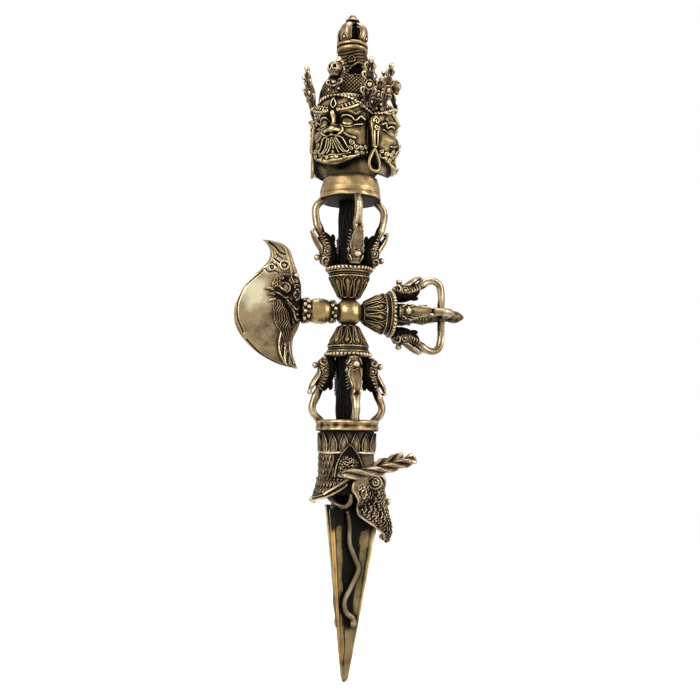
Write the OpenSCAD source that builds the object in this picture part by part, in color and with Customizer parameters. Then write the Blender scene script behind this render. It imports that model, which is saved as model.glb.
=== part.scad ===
// Three-edged ritual dagger of cast brass, tip down, with an axe arm and a
// vajra arm. The tip is the origin, +Z runs up the dagger, the axe lies
// towards -X and the vajra arm towards +X. The blade, its sea-dragon and the
// head stand turned a little against the arms, as they were soldered.

/* [Blade] */
// Angle by which the blade and its sea-dragon are turned against the arms
blade_turn = -8; // [-20:1:20]
// Height of the blade from its tip to its shoulders
blade_len = 88; // [70:1:110]
// Distance from the axis to an edge at the shoulders
blade_edge_r = 18; // [13:0.5:20]
// Width of the flat along each edge at the shoulders
blade_edge_w = 2.4; // [1.6:0.1:3]
// Distance from the axis to the floor of the hollow between two edges
blade_core_r = 5.4; // [4.8:0.1:6.5]
// Share of the blade's width that is left just over its blunt tip
tip_share = 0.14; // [0.06:0.01:0.2]
// Radius of the round tang above the shoulders
tang_r = 4.5; // [3:0.1:4.7]
// How far the tang reaches into the sleeve
tang_depth = 12; // [8:0.5:16]
// Thickness of a serpent's body
naga_d = 2.4; // [1.8:0.1:3.2]

/* [Sea-dragon sleeve] */
// Height of the open throat between the blade's shoulders and the sleeve
throat_h = 7; // [5:0.5:10]
// Height of the sleeve that the blade comes out of
sleeve_h = 32; // [29:1:40]
// Outer radius of the sleeve
sleeve_r = 14.6; // [14:0.1:16]
// Number of leaves standing round the top of the sleeve
leaf_count = 16; // [8:1:18]
// Height of a leaf
leaf_h = 9; // [6:0.5:11]
// Thickness of a leaf
leaf_t = 0.7; // [0.5:0.1:1.2]
// Length of a horn
horn_len = 37; // [26:1:44]
// Radius of a horn
horn_r = 2.3; // [1.6:0.1:2.8]
// How far the upper jaw hangs below the sleeve
snout_drop = 22; // [14:1:25]

/* [Collars] */
// Outer radius of the collar over the sleeve
low_collar_r = 16.6; // [15.8:0.1:18]
// Height of the collar over the sleeve
low_collar_h = 6; // [5:0.5:9]
// Outer radius of the collar under the head, at its foot
top_collar_r = 16.4; // [15.8:0.1:17]
// Height of the collar under the head
top_collar_h = 12.2; // [9:0.2:14]
// Height of the open neck between that collar and the chins
neck_h = 2.4; // [2:0.1:5]

/* [Prong cages] */
// Height of the cage under the ball
cage_h = 32.4; // [30:0.2:38]
// Height of the cage over the ball
upper_cage_h = 35; // [30:0.2:38]
// Distance from the axis to the middle of a prong where it bulges most
prong_r = 18.6; // [17.6:0.1:20]
// Thickness of a prong
prong_t = 3.6; // [3:0.1:4.2]
// Radius of the dark core that shows inside a cage
core_r = 6.4; // [5:0.1:7]
// Radius of the rods on the cores that pass through the cups
rod_r = 2.6; // [2:0.1:3]
// How far each rod reaches into the ball
rod_depth = 4; // [3:0.1:4]
// Radius of the peg under each prong
peg_r = 1; // [0.7:0.05:1.2]

/* [Lotus cups and beads] */
// Height of a lotus cup
cup_h = 11; // [9:0.5:13]
// Radius of a lotus cup at its rim
cup_r = 11.6; // [10.8:0.1:12]
// Radius of a lotus cup at its waist
waist_r = 5.2; // [4.4:0.1:5.6]
// Number of petals round a cup
petal_count = 10; // [8:1:12]
// Height of the plain band between cup and beads
band_h = 2.9; // [2:0.1:3.5]
// Height of a hoop of beads
bead_h = 2.7; // [2.2:0.1:3.2]
// Distance from the axis to the middle of a bead
bead_ring_r = 12.2; // [12:0.1:13]
// Number of beads on a hoop
bead_count = 36; // [24:2:36]
// Radius of a bead
bead_r = 1; // [0.7:0.05:1]
// Radius of the ball in the middle
hub_r = 7.9; // [7.5:0.1:9]
// Distance from the ball's middle to each cup
hub_half = 7.2; // [7.2:0.1:9]

/* [Head and crown] */
// Angle by which the head is turned against the arms
head_turn = -7; // [-20:1:20]
// Height of the head from chins to crown
head_h = 37; // [34:0.5:42]
// Distance from the axis to the front of a face
face_r = 23; // [22:0.1:25]
// How far a nose stands out from its face
nose_out = 4.6; // [3:0.1:6]
// Half the width of the head behind a face
face_half_w = 14.2; // [13.4:0.1:14.6]
// Height of the hair dome and topknot over the head
hair_h = 29.4; // [26:0.2:34]
// How far the crown's band dips beside each face
band_dip = 6.5; // [4:0.1:8]
// Height of the tallest crown leaves
crown_leaf_h = 25; // [18:0.5:27]
// Height of an ear
ear_h = 16.5; // [12:0.5:20]
// Width of an earring
earring_w = 8.4; // [6:0.1:10]
// Height of an earring
earring_h = 13; // [11:0.1:15]
// Thickness of an earring's wire
earring_t = 1.6; // [1:0.1:2]

/* [Finial] */
// Height of the two rings under the ribbed cage
finial_base_h = 5; // [4:0.2:7]
// Height of the ribbed cage on top
finial_h = 11.2; // [9:0.2:14]
// Distance from the axis to the outside of a rib
finial_r = 8.7; // [7.8:0.1:9.5]
// Height of the cap
cap_h = 5.6; // [4:0.1:7]
// Radius of the cap
cap_r = 3.7; // [3:0.1:4.4]

/* [Axe arm] */
// Width of the beaded ring next to the ball
inner_ring_w = 3.5; // [2.5:0.1:5]
// Length of the barrel bead
barrel_len = 10.5; // [8:0.5:14]
// Radius of the barrel bead
barrel_r = 6.7; // [6.2:0.1:7.4]
// Width of the beaded ring next to the axe
outer_ring_w = 4.2; // [3:0.1:5.5]
// Height of the axe from horn to heel
axe_h = 66; // [56:1:74]
// Distance from the axe's edge to its socket
axe_w = 36; // [30:1:40]
// Thickness of the axe plate in its middle
axe_t = 3; // [2:0.1:4]

/* [Vajra arm] */
// Distance from the arm's beads to where its prongs run in to the core
arm_cage_h = 27.5; // [26:0.5:31]
// How far the pointed end stands past the prongs
point_len = 13; // [8:0.5:16]
// Radius of the core where the prongs run in
point_r = 3.2; // [2.6:0.1:4]

/* [Fits] */
// Gap on the radius between a rod and its socket
slip = 0.05; // [0.02:0.01:0.1]
// Gap between shaped faces that lie side by side
air = 0.25; // [0.1:0.05:0.4]

/* [Hidden] */

// Heights of the seats, from the tip upwards
lip_z = blade_len + throat_h;
sleeve_top = lip_z + sleeve_h;
low_collar_top = sleeve_top + low_collar_h;
low_ring_z = low_collar_top + cage_h;
hub_z = low_ring_z + bead_h + band_h + cup_h + hub_half;
up_ring_top = hub_z + hub_half + cup_h + band_h + bead_h;
top_collar_z = up_ring_top + upper_cage_h;
neck_z = top_collar_z + top_collar_h;
chin_z = neck_z + neck_h;
hair_z = chin_z + head_h;
finial_z = hair_z + hair_h;
rib_z = finial_z + finial_base_h;
cap_z = rib_z + finial_h;

// Places along the arms, measured from the axis
arm_ring_x = hub_half + cup_h + band_h + bead_h;
barrel_x = hub_half + inner_ring_w;
outer_ring_x = barrel_x + barrel_len;
axe_x = outer_ring_x + outer_ring_w;

mouth_h = 8;
tang_len = throat_h + mouth_h + tang_depth;
neck_r = 13.2;
neck_plug_h = 12;
hair_plug_h = 6;
inner_bore_r = 10.4;
half_turns = [60, 180, 300];
face_turns = [0, 120, 240];

function unit(v) = v / norm(v);
function mix(a, b, t) = a + (b - a) * t;
function hump(d, w) = exp(-d * d / (w * w));
// A smooth path through the points p, with n steps between each two of them
function spline_at(p, i, t) =
  let (a = p[max(i - 1, 0)], b = p[i], c = p[i + 1], e = p[min(i + 2, len(p) - 1)])
  0.5 * (2 * b + (c - a) * t + (2 * a - 5 * b + 4 * c - e) * t * t
         + (3 * b - a - 3 * c + e) * t * t * t);
function smooth(p, n) =
  concat([for (i = [0:len(p) - 2]) for (k = [0:n - 1]) spline_at(p, i, k / n)], [p[len(p) - 1]]);
function heading(p, i) = unit(p[min(i + 1, len(p) - 1)] - p[max(i - 1, 0)]);
function stand(p) = [for (q = p) [q[0], 0, q[1]]];

// Triangles over rings of n points each, with both ends closed
function ring_faces(rings, n) = concat(
  [for (i = [0:rings - 2]) for (j = [0:n - 1])
    let (k = (j + 1) % n)
    for (f = [[i * n + j, i * n + k, (i + 1) * n + k], [i * n + j, (i + 1) * n + k, (i + 1) * n + j]]) f],
  [for (j = [1:n - 2]) [0, j + 1, j]],
  [for (j = [1:n - 2]) let (o = (rings - 1) * n) [o, o + j, o + j + 1]]);

// A tube along path p. w[i] holds its half widths, across and along side; the
// section turns by twist degrees from start to end and has some lobes.
module tube(p, w, side, n = 8, twist = 0, lobes = 0) {
  last = len(p) - 1;
  pts = [for (i = [0:last])
    let (t = heading(p, i), a = unit(cross(t, side)), b = cross(a, t))
    for (j = [0:n - 1])
      let (u = 360 * (j + 0.5) / n + twist * i / last,
           s = 1 + 0.16 * (lobes > 0 ? cos(lobes * 360 * j / n) : 0))
      p[i] + s * (w[i][0] * cos(u) * a + w[i][1] * sin(u) * b)];
  polyhedron(pts, ring_faces(len(p), n));
}

// A ring of round beads on a plain hoop with a bore, from z = 0 to z = h
module bead_hoop(r, h, count, bore) {
  difference() {
    union() {
      cylinder(r = r, h = h, $fn = 64);
      for (i = [0:count - 1]) rotate(360 * i / count)
        translate([r + bead_r / 8, 0, h / 2]) rotate([0, 90, 0]) sphere(r = bead_r, $fn = 24);
    }
    translate([0, 0, -1]) cylinder(r = bore + slip, h = h + 2, $fn = 32);
  }
}

// Lotus cup, waist at z = 0 and rim at z = cup_h, with the plain band over it
module lotus() {
  lean = atan((cup_r - waist_r) / cup_h);
  top_r = cup_r * sin(180 / petal_count) * 0.72;
  reach = cup_h * 0.72;
  difference() {
    union() {
      rotate_extrude($fn = 64) polygon([
        [0, 0], [waist_r, 0], [mix(waist_r, cup_r, 0.3), cup_h * 0.4], [cup_r - 1.2, cup_h * 0.85],
        [cup_r, cup_h * 0.93], [cup_r, cup_h], [cup_r - 1, cup_h + 0.5],
        [cup_r - 1, cup_h + band_h - 0.5], [cup_r - 0.4, cup_h + band_h], [0, cup_h + band_h]]);
      for (i = [0:petal_count - 1]) rotate(360 * i / petal_count)
        translate([waist_r - top_r * 0.45, 0, 0.6]) rotate([0, lean, 0]) {
          cylinder(r1 = top_r * 0.4, r2 = top_r, h = reach, $fn = 24);
          translate([0, 0, reach]) sphere(r = top_r * 1.04, $fn = 24);
        }
    }
    translate([0, 0, -1]) cylinder(r = rod_r + slip, h = cup_h + band_h + 2, $fn = 32);
    translate([0, 0, -2]) cylinder(r = cup_r * 2, h = 2, $fn = 32);
  }
}

// Hoop of beads that carries four prongs, with a hole for each prong's peg
peg_x = bead_ring_r - 1.4;
peg_floor = 1;
module beads() {
  difference() {
    bead_hoop(bead_ring_r, bead_h, bead_count, rod_r);
    for (a = [0:90:270]) rotate(a) translate([peg_x, 0, peg_floor])
      cylinder(r = peg_r + slip, h = bead_h, $fn = 24);
  }
}

// Middle line of a prong over the sea-dragon's head at its root: distance from
// the axis, and height over its beads. The last points run in to end_r at height h.
function cage_line(h, end_r) = [
  [16.4, 19.6], [prong_r - 0.8, 23], [prong_r + 0.1, h - 5.4], [prong_r - 0.8, h - 2.4], [end_r + 1, h],
  [end_r - 1.6, h + 2.6]];
function arm_line(h, end_r) = [
  [16.4, 16], [prong_r - 0.2, h - 8.2], [prong_r + 0.4, h - 4.4], [prong_r - 2, h - 1],
  [11, h], [end_r, h]];

// A prong that comes out of the mouth of a small sea-dragon's head, which
// stands on z = 0; snout_z is the height of the curl of its upper lip
root_line = [[10.8, -1], [10.8, 2.4], [11.3, 6.4], [12.1, 10.2], [13.2, 13.6], [14.8, 16.6]];
root_girth = [[3.4, 2.9], [4.2, 3.6], [4.7, 3.8], [4.5, 3.5], [3.9, 3], [3, 2.5]];
lip_line = [[14.4, 8], [16.8, 11.4], [18.6, 14.2], [19.7, 16.2], [20.1, 18]];
lip_girth = [[3, 1.7], [2.7, 1.6], [2.3, 1.4], [1.9, 1.1], [1.1, 0.6]];
module prong(line, snout_z, top, core) {
  k = snout_z / 16;
  bend = smooth(line, 2);
  path = stand(concat([for (q = root_line) [q[0], q[1] * k]], bend));
  last = len(bend) - 1;
  girth = concat(root_girth, [for (i = [0:last])
    let (s = min(1, 0.6 + bend[i][0] / 33) * (1 + 0.45 * max(0, 1 - 3 * i / last)))
    [prong_t / 2 * s, prong_t * 0.62 * s]]);
  difference() {
    union() {
      tube(path, girth, [0, 1, 0], 8);
      tube(stand([for (q = lip_line) [q[0], q[1] * k]]), lip_girth, [1, 0, 0], 6);
      tube(stand([for (q = [[10, 9], [9.4, 13], [9.2, 17.4]]) [q[0], q[1] * k]]),
           [[2.4, 1.6], [2, 1.4], [0.9, 0.6]], [1, 0, 0], 6);
      translate([16.6, 0, 5.2]) sphere(r = 1.6, $fn = 10);
    }
    translate([0, -10, -5]) cube([30, 20, 5]);
    translate([0, -10, top]) cube([30, 20, 5]);
    if (core > 0) cylinder(r = core, h = top + 4, $fn = 32);
  }
  peg_h = bead_h - peg_floor - 0.4;
  translate([peg_x, 0, -peg_h]) cylinder(r = peg_r, h = peg_h + 1.3, $fn = 24);
}
module cage_prong(h) {
  prong(cage_line(h, 14), 16, h, 0);
}
module arm_prong() {
  prong(arm_line(arm_cage_h, point_r - 1), 13.4, arm_cage_h + prong_t, point_r + slip);
}

// Core of a cage: rod of length low down to z = -low, body of radius r up to
// z = h, and a rod of length high over it
module stepped_core(r, h, low, high) {
  rotate_extrude($fn = 48) polygon([
    [0, -low], [rod_r, -low], [rod_r, 0], [r, 0], [r * 0.94, h * 0.3], [r, h * 0.6], [r * 0.95, h],
    [rod_r, h], [rod_r, h + high], [0, h + high]]);
}
rod_down = bead_h + band_h + cup_h + rod_depth;

module on_hub_up() translate([0, 0, hub_z]) children();
module on_hub_down() translate([0, 0, hub_z]) mirror([0, 0, 1]) children();
module on_hub_right() translate([0, 0, hub_z]) rotate([0, 90, 0]) children();
module on_hub_left() translate([0, 0, hub_z]) rotate([0, -90, 0]) children();

// Blade: three hollow faces between three edges at 0, 120 and 240 degrees
function hollow(f) = let (x_edge = blade_edge_r / 2, y_edge = blade_edge_r * sin(60))
  [mix(blade_core_r, x_edge, f * f), f * y_edge];
function turned(q, a) = [q[0] * cos(a) - q[1] * sin(a), q[0] * sin(a) + q[1] * cos(a)];
function blade_section(grow) = [for (a = face_turns) for (q = concat(
  [[blade_edge_r + grow, -blade_edge_w / 2 - grow], [blade_edge_r + grow, blade_edge_w / 2 + grow]],
  [for (f = [-0.74, -0.42, 0, 0.42, 0.74]) turned(hollow(f) + [grow, 0], 60)])) turned(q, a)];
tip_h = 2.5;
function blade_share(z) = mix(tip_share, 1, (z - tip_h) / (blade_len - tip_h));
module blade() color("#b79a55") rotate(blade_turn) {
  section = blade_section(0);
  n = len(section);
  top = blade_len * 1.1;
  intersection() {
    polyhedron(concat([[0, 0, 0]],
        [for (z = [tip_h, top]) for (q = section) [q[0] * blade_share(z), q[1] * blade_share(z), z]],
        [[0, 0, top]]),
      concat([for (j = [0:n - 1]) [0, 1 + j, 1 + (j + 1) % n]],
             [for (j = [0:n - 1]) let (k = (j + 1) % n)
               for (f = [[1 + j, n + 1 + j, 1 + k], [1 + k, n + 1 + j, n + 1 + k]]) f],
             [for (j = [0:n - 1]) [2 * n + 1, n + 1 + (j + 1) % n, n + 1 + j]]));
    translate([0, 0, -1]) cylinder(r = 2 * blade_edge_r, h = blade_len + 1, $fn = 64);
  }
  translate([0, 0, blade_len - 4]) cylinder(r = tang_r, h = tang_len + 4, $fn = 48);
}

// Serpent that winds down a hollow face: sideways place and share of the
// blade's height at each bend
naga_bends = [[-4, 0.93], [-3.2, 0.8], [2.4, 0.71], [4.4, 0.64], [0, 0.54], [-3.6, 0.47],
              [-2.4, 0.41], [2.2, 0.365], [2.6, 0.32]];
module naga(a) color("#8f7a42") {
  path = [for (q = smooth(naga_bends, 3))
    let (s = blade_share(q[1] * blade_len), f = q[0] / (s * blade_edge_r * sin(60)))
    [hollow(f)[0] * s + naga_d / 2 + air + 0.35, q[0], q[1] * blade_len]];
  last = len(path) - 1;
  girth = [for (i = [0:last]) let (t = i / last)
    naga_d / 2 * (0.6 + 0.4 * sin(180 * min(t * 1.5, 0.5))
                  + 0.5 * hump(t - 0.95, 0.05) - 0.3 * hump(t - 1.03, 0.03))];
  rotate(a + blade_turn) tube(path, [for (g = girth) [g, g * 0.85]], [1, 0, 0], 6);
}
module naga_right() naga(300);
module naga_left() naga(180);
module naga_back() naga(60);

// Sleeve with the open mouth below, the tang's socket and the rod's socket
sleeve_rod_depth = 6;
module sleeve() color("#7d6a45") difference() {
  translate([0, 0, lip_z]) cylinder(r = sleeve_r, h = sleeve_h, $fn = 96);
  translate([0, 0, lip_z - 1]) cylinder(r = sleeve_r - 2.4, h = mouth_h + 1, $fn = 64);
  translate([0, 0, lip_z]) cylinder(r = tang_r + slip, h = mouth_h + tang_depth, $fn = 48);
  translate([0, 0, sleeve_top - sleeve_rod_depth])
    cylinder(r = rod_r + slip, h = sleeve_rod_depth + 1, $fn = 32);
}

// Upright pointed leaf seen from the axis towards +X, to be cut out of a shell
module leaf_cut(width, height) {
  r = (height * height + width * width / 4) / width;
  intersection_for (s = [-1, 1])
    translate([sleeve_r - 1, s * (r - width / 2), 0]) rotate([0, 90, 0]) cylinder(r = r, h = 6, $fn = 128);
}
leaf_low = sleeve_top - 1 - leaf_h;
module leaf_ring() color("#6f5f4a") rotate(blade_turn) intersection() {
  difference() {
    translate([0, 0, leaf_low - 1]) cylinder(r = sleeve_r + leaf_t, h = leaf_h + 2, $fn = 96);
    translate([0, 0, leaf_low - 2]) cylinder(r = sleeve_r, h = leaf_h + 4, $fn = 96);
  }
  union() {
    translate([0, 0, leaf_low - 1.5]) cylinder(r = 2 * sleeve_r, h = 1.5, $fn = 96);
    for (i = [0:leaf_count - 1]) rotate(360 * (i + 0.5) / leaf_count)
      translate([0, 0, leaf_low]) leaf_cut(5.2 * sleeve_r / leaf_count, leaf_h);
  }
}

// The two big pointed ears lie on the sleeve, under the horns
ear_leaf_t = 1.4;
ear_leaf_out = sleeve_r + leaf_t + ear_leaf_t;
ear_leaf_low = lip_z + 9;
ear_leaf_w = 15;
ear_leaf_h = sleeve_top - ear_leaf_low - 6;
module ear_leaves() color("#7d6a45") rotate(blade_turn) intersection() {
  rotate_extrude($fn = 96) polygon([
    [sleeve_r, ear_leaf_low], [ear_leaf_out, ear_leaf_low], [ear_leaf_out, sleeve_top - 1],
    [sleeve_r + leaf_t + slip, sleeve_top - 1], [sleeve_r + leaf_t + slip, leaf_low - 1.2],
    [sleeve_r, leaf_low - 1.2]]);
  for (s = [-1, 1]) rotate(90 * s) translate([0, 0, ear_leaf_low]) leaf_cut(ear_leaf_w, ear_leaf_h);
}

// Upper jaw: a trough over the blade's edge, with eyes at its root. Its path
// gives the distance from the axis and the height in shares of snout_drop, its
// girth the half widths across and outwards; the last points curl up again.
snout_path = [[11.5, 0.59], [14, 0.3], [15.8, 0], [17.6, -0.32], [19.3, -0.6], [20.8, -0.82],
              [21.6, -0.95], [20.8, -1.03], [19.9, -0.98]];
snout_girth = [[8, 3.4], [10, 5.6], [9.6, 6], [8, 5], [6, 4], [4.4, 3], [3.4, 2.2], [2.4, 1.5], [1.4, 0.9]];
module snout() color("#94804a") rotate(blade_turn) difference() {
  union() {
    tube([for (q = snout_path) [q[0], 0, lip_z + q[1] * snout_drop]], snout_girth, [1, 0, 0], 12);
    for (s = [-1, 1]) translate([14.2, 9.4 * s, lip_z + 7]) sphere(r = 3.2, $fn = 12);
    translate([22.4, 0, lip_z - 0.4 * snout_drop]) sphere(r = 1.9, $fn = 10);
  }
  translate([0, 0, lip_z]) cylinder(r = sleeve_r, h = sleeve_h, $fn = 96);
  translate([0, 0, lip_z - 2 * snout_drop])
    linear_extrude(2 * snout_drop + 0.01) polygon(blade_section(air));
  for (s = [-1, 1]) translate([0, s * 20, lip_z + mouth_h + 1.6]) cube([16.4, 16, 30], center = true);
}

// Lower jaw: a flared lip that rises from its point towards the mouth's corners
jaw_drop = 3.2;
jaw_flare = 4.6;
module lower_jaw() color("#94804a") rotate(blade_turn) difference() {
  rotate_extrude($fn = 96) polygon([
    [sleeve_r, lip_z + 8.4], [sleeve_r + 0.9, lip_z + 8.4], [sleeve_r + 1.6, lip_z + 4],
    [sleeve_r + jaw_flare, lip_z - jaw_drop], [sleeve_r + jaw_flare - 1.2, lip_z - jaw_drop],
    [sleeve_r - 0.6, lip_z], [sleeve_r, lip_z]]);
  translate([-sleeve_r - jaw_flare - 1, -30, lip_z - jaw_drop - 0.6]) rotate([0, -27, 0])
    translate([0, 0, -20]) cube([60, 60, 20]);
  translate([-1, -30, lip_z - 10]) cube([60, 60, 40]);
}

// Twisted horns, one on each side, from the ears forwards past the snout
module horns() color("#b79a55") rotate(blade_turn) for (s = [-1, 1]) {
  y = s * (ear_leaf_out + horn_r + air);
  low = lip_z + 10.4;
  path = smooth([[-4, y, low], [horn_len * 0.3, y, low + 2], [horn_len * 0.62, y, low + 5],
                 [horn_len - 4, y - s * 0.8, low + 8.6]], 5);
  last = len(path) - 1;
  girth = [for (i = [0:last]) horn_r * (1 - 0.22 * sin(180 * i / last)) * (i == 0 ? 0.7 : 0.86)];
  tube(path, [for (g = girth) [g, g]], [0, 0, 1], 9, 500 * s, 3);
  translate(path[last]) sphere(r = horn_r * 1.1, $fn = 12);
}

// Loops of lip under the mouth's corners, hung from the sleeve's rim
module mouth_loops() color("#94804a") rotate(blade_turn) for (s = [-1, 1]) difference() {
  r = sleeve_r - 1.2;
  path = smooth([for (q = [[-44, 1], [-38, -2.4], [-26, -4.6], [-10, -5.6], [2, -3.6], [6, 1]])
    [r * sin(q[0]), s * r * cos(q[0]), lip_z + q[1]]], 3);
  tube(path, [for (q = path) [0.8, 1.1]], [0, s, 0], 6);
  translate([-30, -30, lip_z]) cube([60, 60, 10]);
  translate([0, 0, blade_len - 10]) cylinder(r = 30, h = 10 + air, $fn = 32);
}

module lower_collar() color("#c3a75c") translate([0, 0, sleeve_top]) difference() {
  rotate_extrude($fn = 96) polygon([
    [0, 0], [low_collar_r - 0.8, 0], [low_collar_r, 1.2], [low_collar_r - 0.5, low_collar_h / 2],
    [low_collar_r, low_collar_h - 1.2], [low_collar_r - 0.6, low_collar_h], [0, low_collar_h]]);
  translate([0, 0, -1]) cylinder(r = rod_r + slip, h = low_collar_h + 2, $fn = 32);
}
module lower_core() color("#3a3230") on_hub_down() translate([0, 0, arm_ring_x])
  stepped_core(core_r, cage_h, rod_down, low_collar_h + sleeve_rod_depth);
module lower_prong(i) color("#a58c4e") on_hub_down()
  translate([0, 0, arm_ring_x]) rotate(90 * i) cage_prong(cage_h);
module lower_beads() color("#94804a") on_hub_down() translate([0, 0, arm_ring_x - bead_h]) beads();
module lower_lotus() color("#94804a") on_hub_down() translate([0, 0, hub_half]) lotus();

// Ball with a short neck and a socket towards each arm
module hub() color("#c3a75c") on_hub_up() difference() {
  union() {
    intersection() {
      sphere(r = hub_r, $fn = 64);
      cube([2 * hub_half, 2 * hub_r, 2 * hub_half], center = true);
    }
    for (turn = [0, 90]) rotate([0, turn, 0])
      translate([0, 0, -hub_half]) cylinder(r = waist_r, h = 2 * hub_half, $fn = 48);
  }
  for (turn = [0:90:270]) rotate([0, turn, 0])
    translate([0, 0, hub_half - rod_depth]) cylinder(r = rod_r + slip, h = rod_depth + 1, $fn = 32);
}

module upper_lotus() color("#94804a") on_hub_up() translate([0, 0, hub_half]) lotus();
module upper_beads() color("#94804a") on_hub_up() translate([0, 0, arm_ring_x - bead_h]) beads();
neck_rod_depth = 8;
module upper_core() color("#3a3230") on_hub_up() translate([0, 0, arm_ring_x])
  stepped_core(core_r, upper_cage_h, rod_down, top_collar_h + neck_rod_depth);
module upper_prong(i) color("#a58c4e") on_hub_up()
  translate([0, 0, arm_ring_x]) rotate(90 * i) cage_prong(upper_cage_h);
module upper_collar() color("#c3a75c") translate([0, 0, top_collar_z]) difference() {
  rotate_extrude($fn = 96) polygon([
    [0, 0], [top_collar_r - 0.6, 0], [top_collar_r, 0.8], [top_collar_r - 0.5, top_collar_h * 0.45],
    [top_collar_r - 1.5, top_collar_h - 1.4], [top_collar_r - 2.4, top_collar_h], [0, top_collar_h]]);
  translate([0, 0, -1]) cylinder(r = rod_r + slip, h = top_collar_h + 2, $fn = 32);
}
module neck() color("#5a4a38") translate([0, 0, neck_z]) difference() {
  cylinder(r = neck_r, h = neck_h + neck_plug_h, $fn = 64);
  translate([0, 0, -1]) cylinder(r = rod_r + slip, h = neck_rod_depth + 1, $fn = 32);
}

// Head: three faces round a hollow casting. Each face is an ellipse set off
// the axis, with its features added to the radius; h is the height over the
// chin and a the angle from the middle of the face.
lobe_off = 9;
function lobe(a) = let (p = face_r - lobe_off, q = face_half_w,
    m = pow(cos(a) / p, 2) + pow(sin(a) / q, 2), k = lobe_off * cos(a) / (p * p))
  (k + sqrt(k * k + m * (1 - pow(lobe_off / p, 2)))) / m;
function features(a, h) = let (b = abs(a))
  nose_out * hump(a, 8) * hump(h - 15.5, 4) + 1.6 * hump(b - 9, 5) * hump(h - 13.2, 2.6)
  + 1.5 * hump(b - 25, 9) * hump(h - 14.5, 5) - 2.4 * hump(b - 17, 7) * hump(h - 22, 3)
  + 2.6 * hump(b - 17, 5) * hump(h - 21.6, 1.9) + 1.8 * hump(b - 18, 12) * hump(h - 27 - b / 12, 2)
  + 1.7 * hump(b - 13, 12) * hump(h - 10 + b / 12, 2.2) - 1.6 * hump(a, 14) * hump(h - 5.6, 1.6)
  - 2.6 * hump(h + 1, 3);
function skin(a, h) = lobe(a) + features(a, h * 37 / head_h);
head_rows = 20;
head_step = 5;
jaw_rise = 7;
module head() color("#b0955a") {
  angles = [for (a = face_turns) for (b = [-60:head_step:60 - head_step]) [a, b]];
  n = len(angles);
  pts = [for (i = [0:head_rows - 1]) for (q = angles)
    let (h = mix(jaw_rise * (1 - cos(3 * q[1])) / 2, head_h, i / (head_rows - 1)),
         r = skin(q[1], h), a = q[0] + q[1]) [r * cos(a), r * sin(a), h]];
  o = (head_rows - 1) * n;
  translate([0, 0, chin_z]) rotate(head_turn) difference() {
    polyhedron(concat(pts, [[0, 0, jaw_rise], [0, 0, head_h]]), concat(
      [for (i = [0:head_rows - 2]) for (j = [0:n - 1]) let (k = (j + 1) % n, p = i * n)
        for (f = [[p + j, p + n + k, p + k], [p + j, p + n + j, p + n + k]]) f],
      [for (j = [0:n - 1]) [n * head_rows, j, (j + 1) % n]],
      [for (j = [0:n - 1]) [n * head_rows + 1, o + (j + 1) % n, o + j]]));
    translate([0, 0, -1]) cylinder(r = neck_r + slip, h = neck_plug_h + 1, $fn = 64);
    translate([0, 0, -1]) cylinder(r = inner_bore_r, h = head_h + 2, $fn = 64);
    translate([0, 0, head_h - hair_plug_h]) cylinder(r = neck_r + slip, h = hair_plug_h + 1, $fn = 64);
  }
}

// Ears stand between the faces, each with a long lobe
ear_low = 10.3;
ear_in = lobe(48) * cos(12) + air;
ear_t = 3.4;
module ears() color("#b0955a") for (a = half_turns) rotate(a + head_turn)
  translate([ear_in, 0, chin_z + ear_low]) difference() {
    union() {
      translate([0, 0, ear_h - 3.2]) rotate([0, 90, 0]) cylinder(r = 3.2, h = ear_t, $fn = 32);
      rotate([90, 0, 90]) linear_extrude(ear_t) polygon([
        [-1.6, 0], [1.6, 0], [2.4, ear_h * 0.5], [3, ear_h - 3.2], [-3, ear_h - 3.2], [-2.4, ear_h * 0.5]]);
    }
    translate([ear_t - 0.7, 0, ear_h - 3.2]) rotate([0, 90, 0]) cylinder(r = 1.5, h = 1, $fn = 24);
    translate([ear_t - 0.7, -0.5, 2]) cube([1, 1, ear_h * 0.42]);
  }

// Earrings: upright hoops with straight sides
module hoop() {
  r = (earring_w - earring_t) / 2;
  side = earring_h - earring_w;
  for (s = [0, 1]) translate([0, 0, s * side]) rotate([90, 180 * (1 - s), 90])
    rotate_extrude(angle = 180, $fn = 48) translate([r, 0]) circle(r = earring_t / 2, $fn = 16);
  for (s = [-1, 1]) translate([0, s * r, 0]) cylinder(r = earring_t / 2, h = side, $fn = 16);
}
module earring(a) color("#c3a75c") rotate(a + head_turn)
  translate([ear_in + ear_t / 2 + 0.4, 0, chin_z + ear_low - air - earring_h + earring_w / 2]) hoop();

// Crown: a band that follows the heads, leaves on it and a skull over each face
band_r = 1;
function band_h_at(a) = head_h - 1.4 - band_dip * (1 - cos(3 * a)) / 2;
function band_place(a) = skin(a, band_h_at(a)) + band_r + air;
module crown_band() color("#b79a55") {
  n = 6;
  turns = [for (a = face_turns) for (b = [-60:7.5:52.5]) [a, b]];
  m = len(turns);
  pts = [for (q = turns) let (c = band_place(q[1])) for (j = [0:n - 1])
    let (r = c + band_r * cos(60 * j + 30), t = q[0] + q[1])
    [r * cos(t), r * sin(t), chin_z + band_h_at(q[1]) + band_r * sin(60 * j + 30)]];
  rotate(head_turn) polyhedron(pts, [for (i = [0:m - 1]) for (j = [0:n - 1])
    let (k = (j + 1) % n, o = ((i + 1) % m) * n)
    for (f = [[i * n + j, i * n + k, o + k], [i * n + j, o + k, o + j]]) f]);
}
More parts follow.
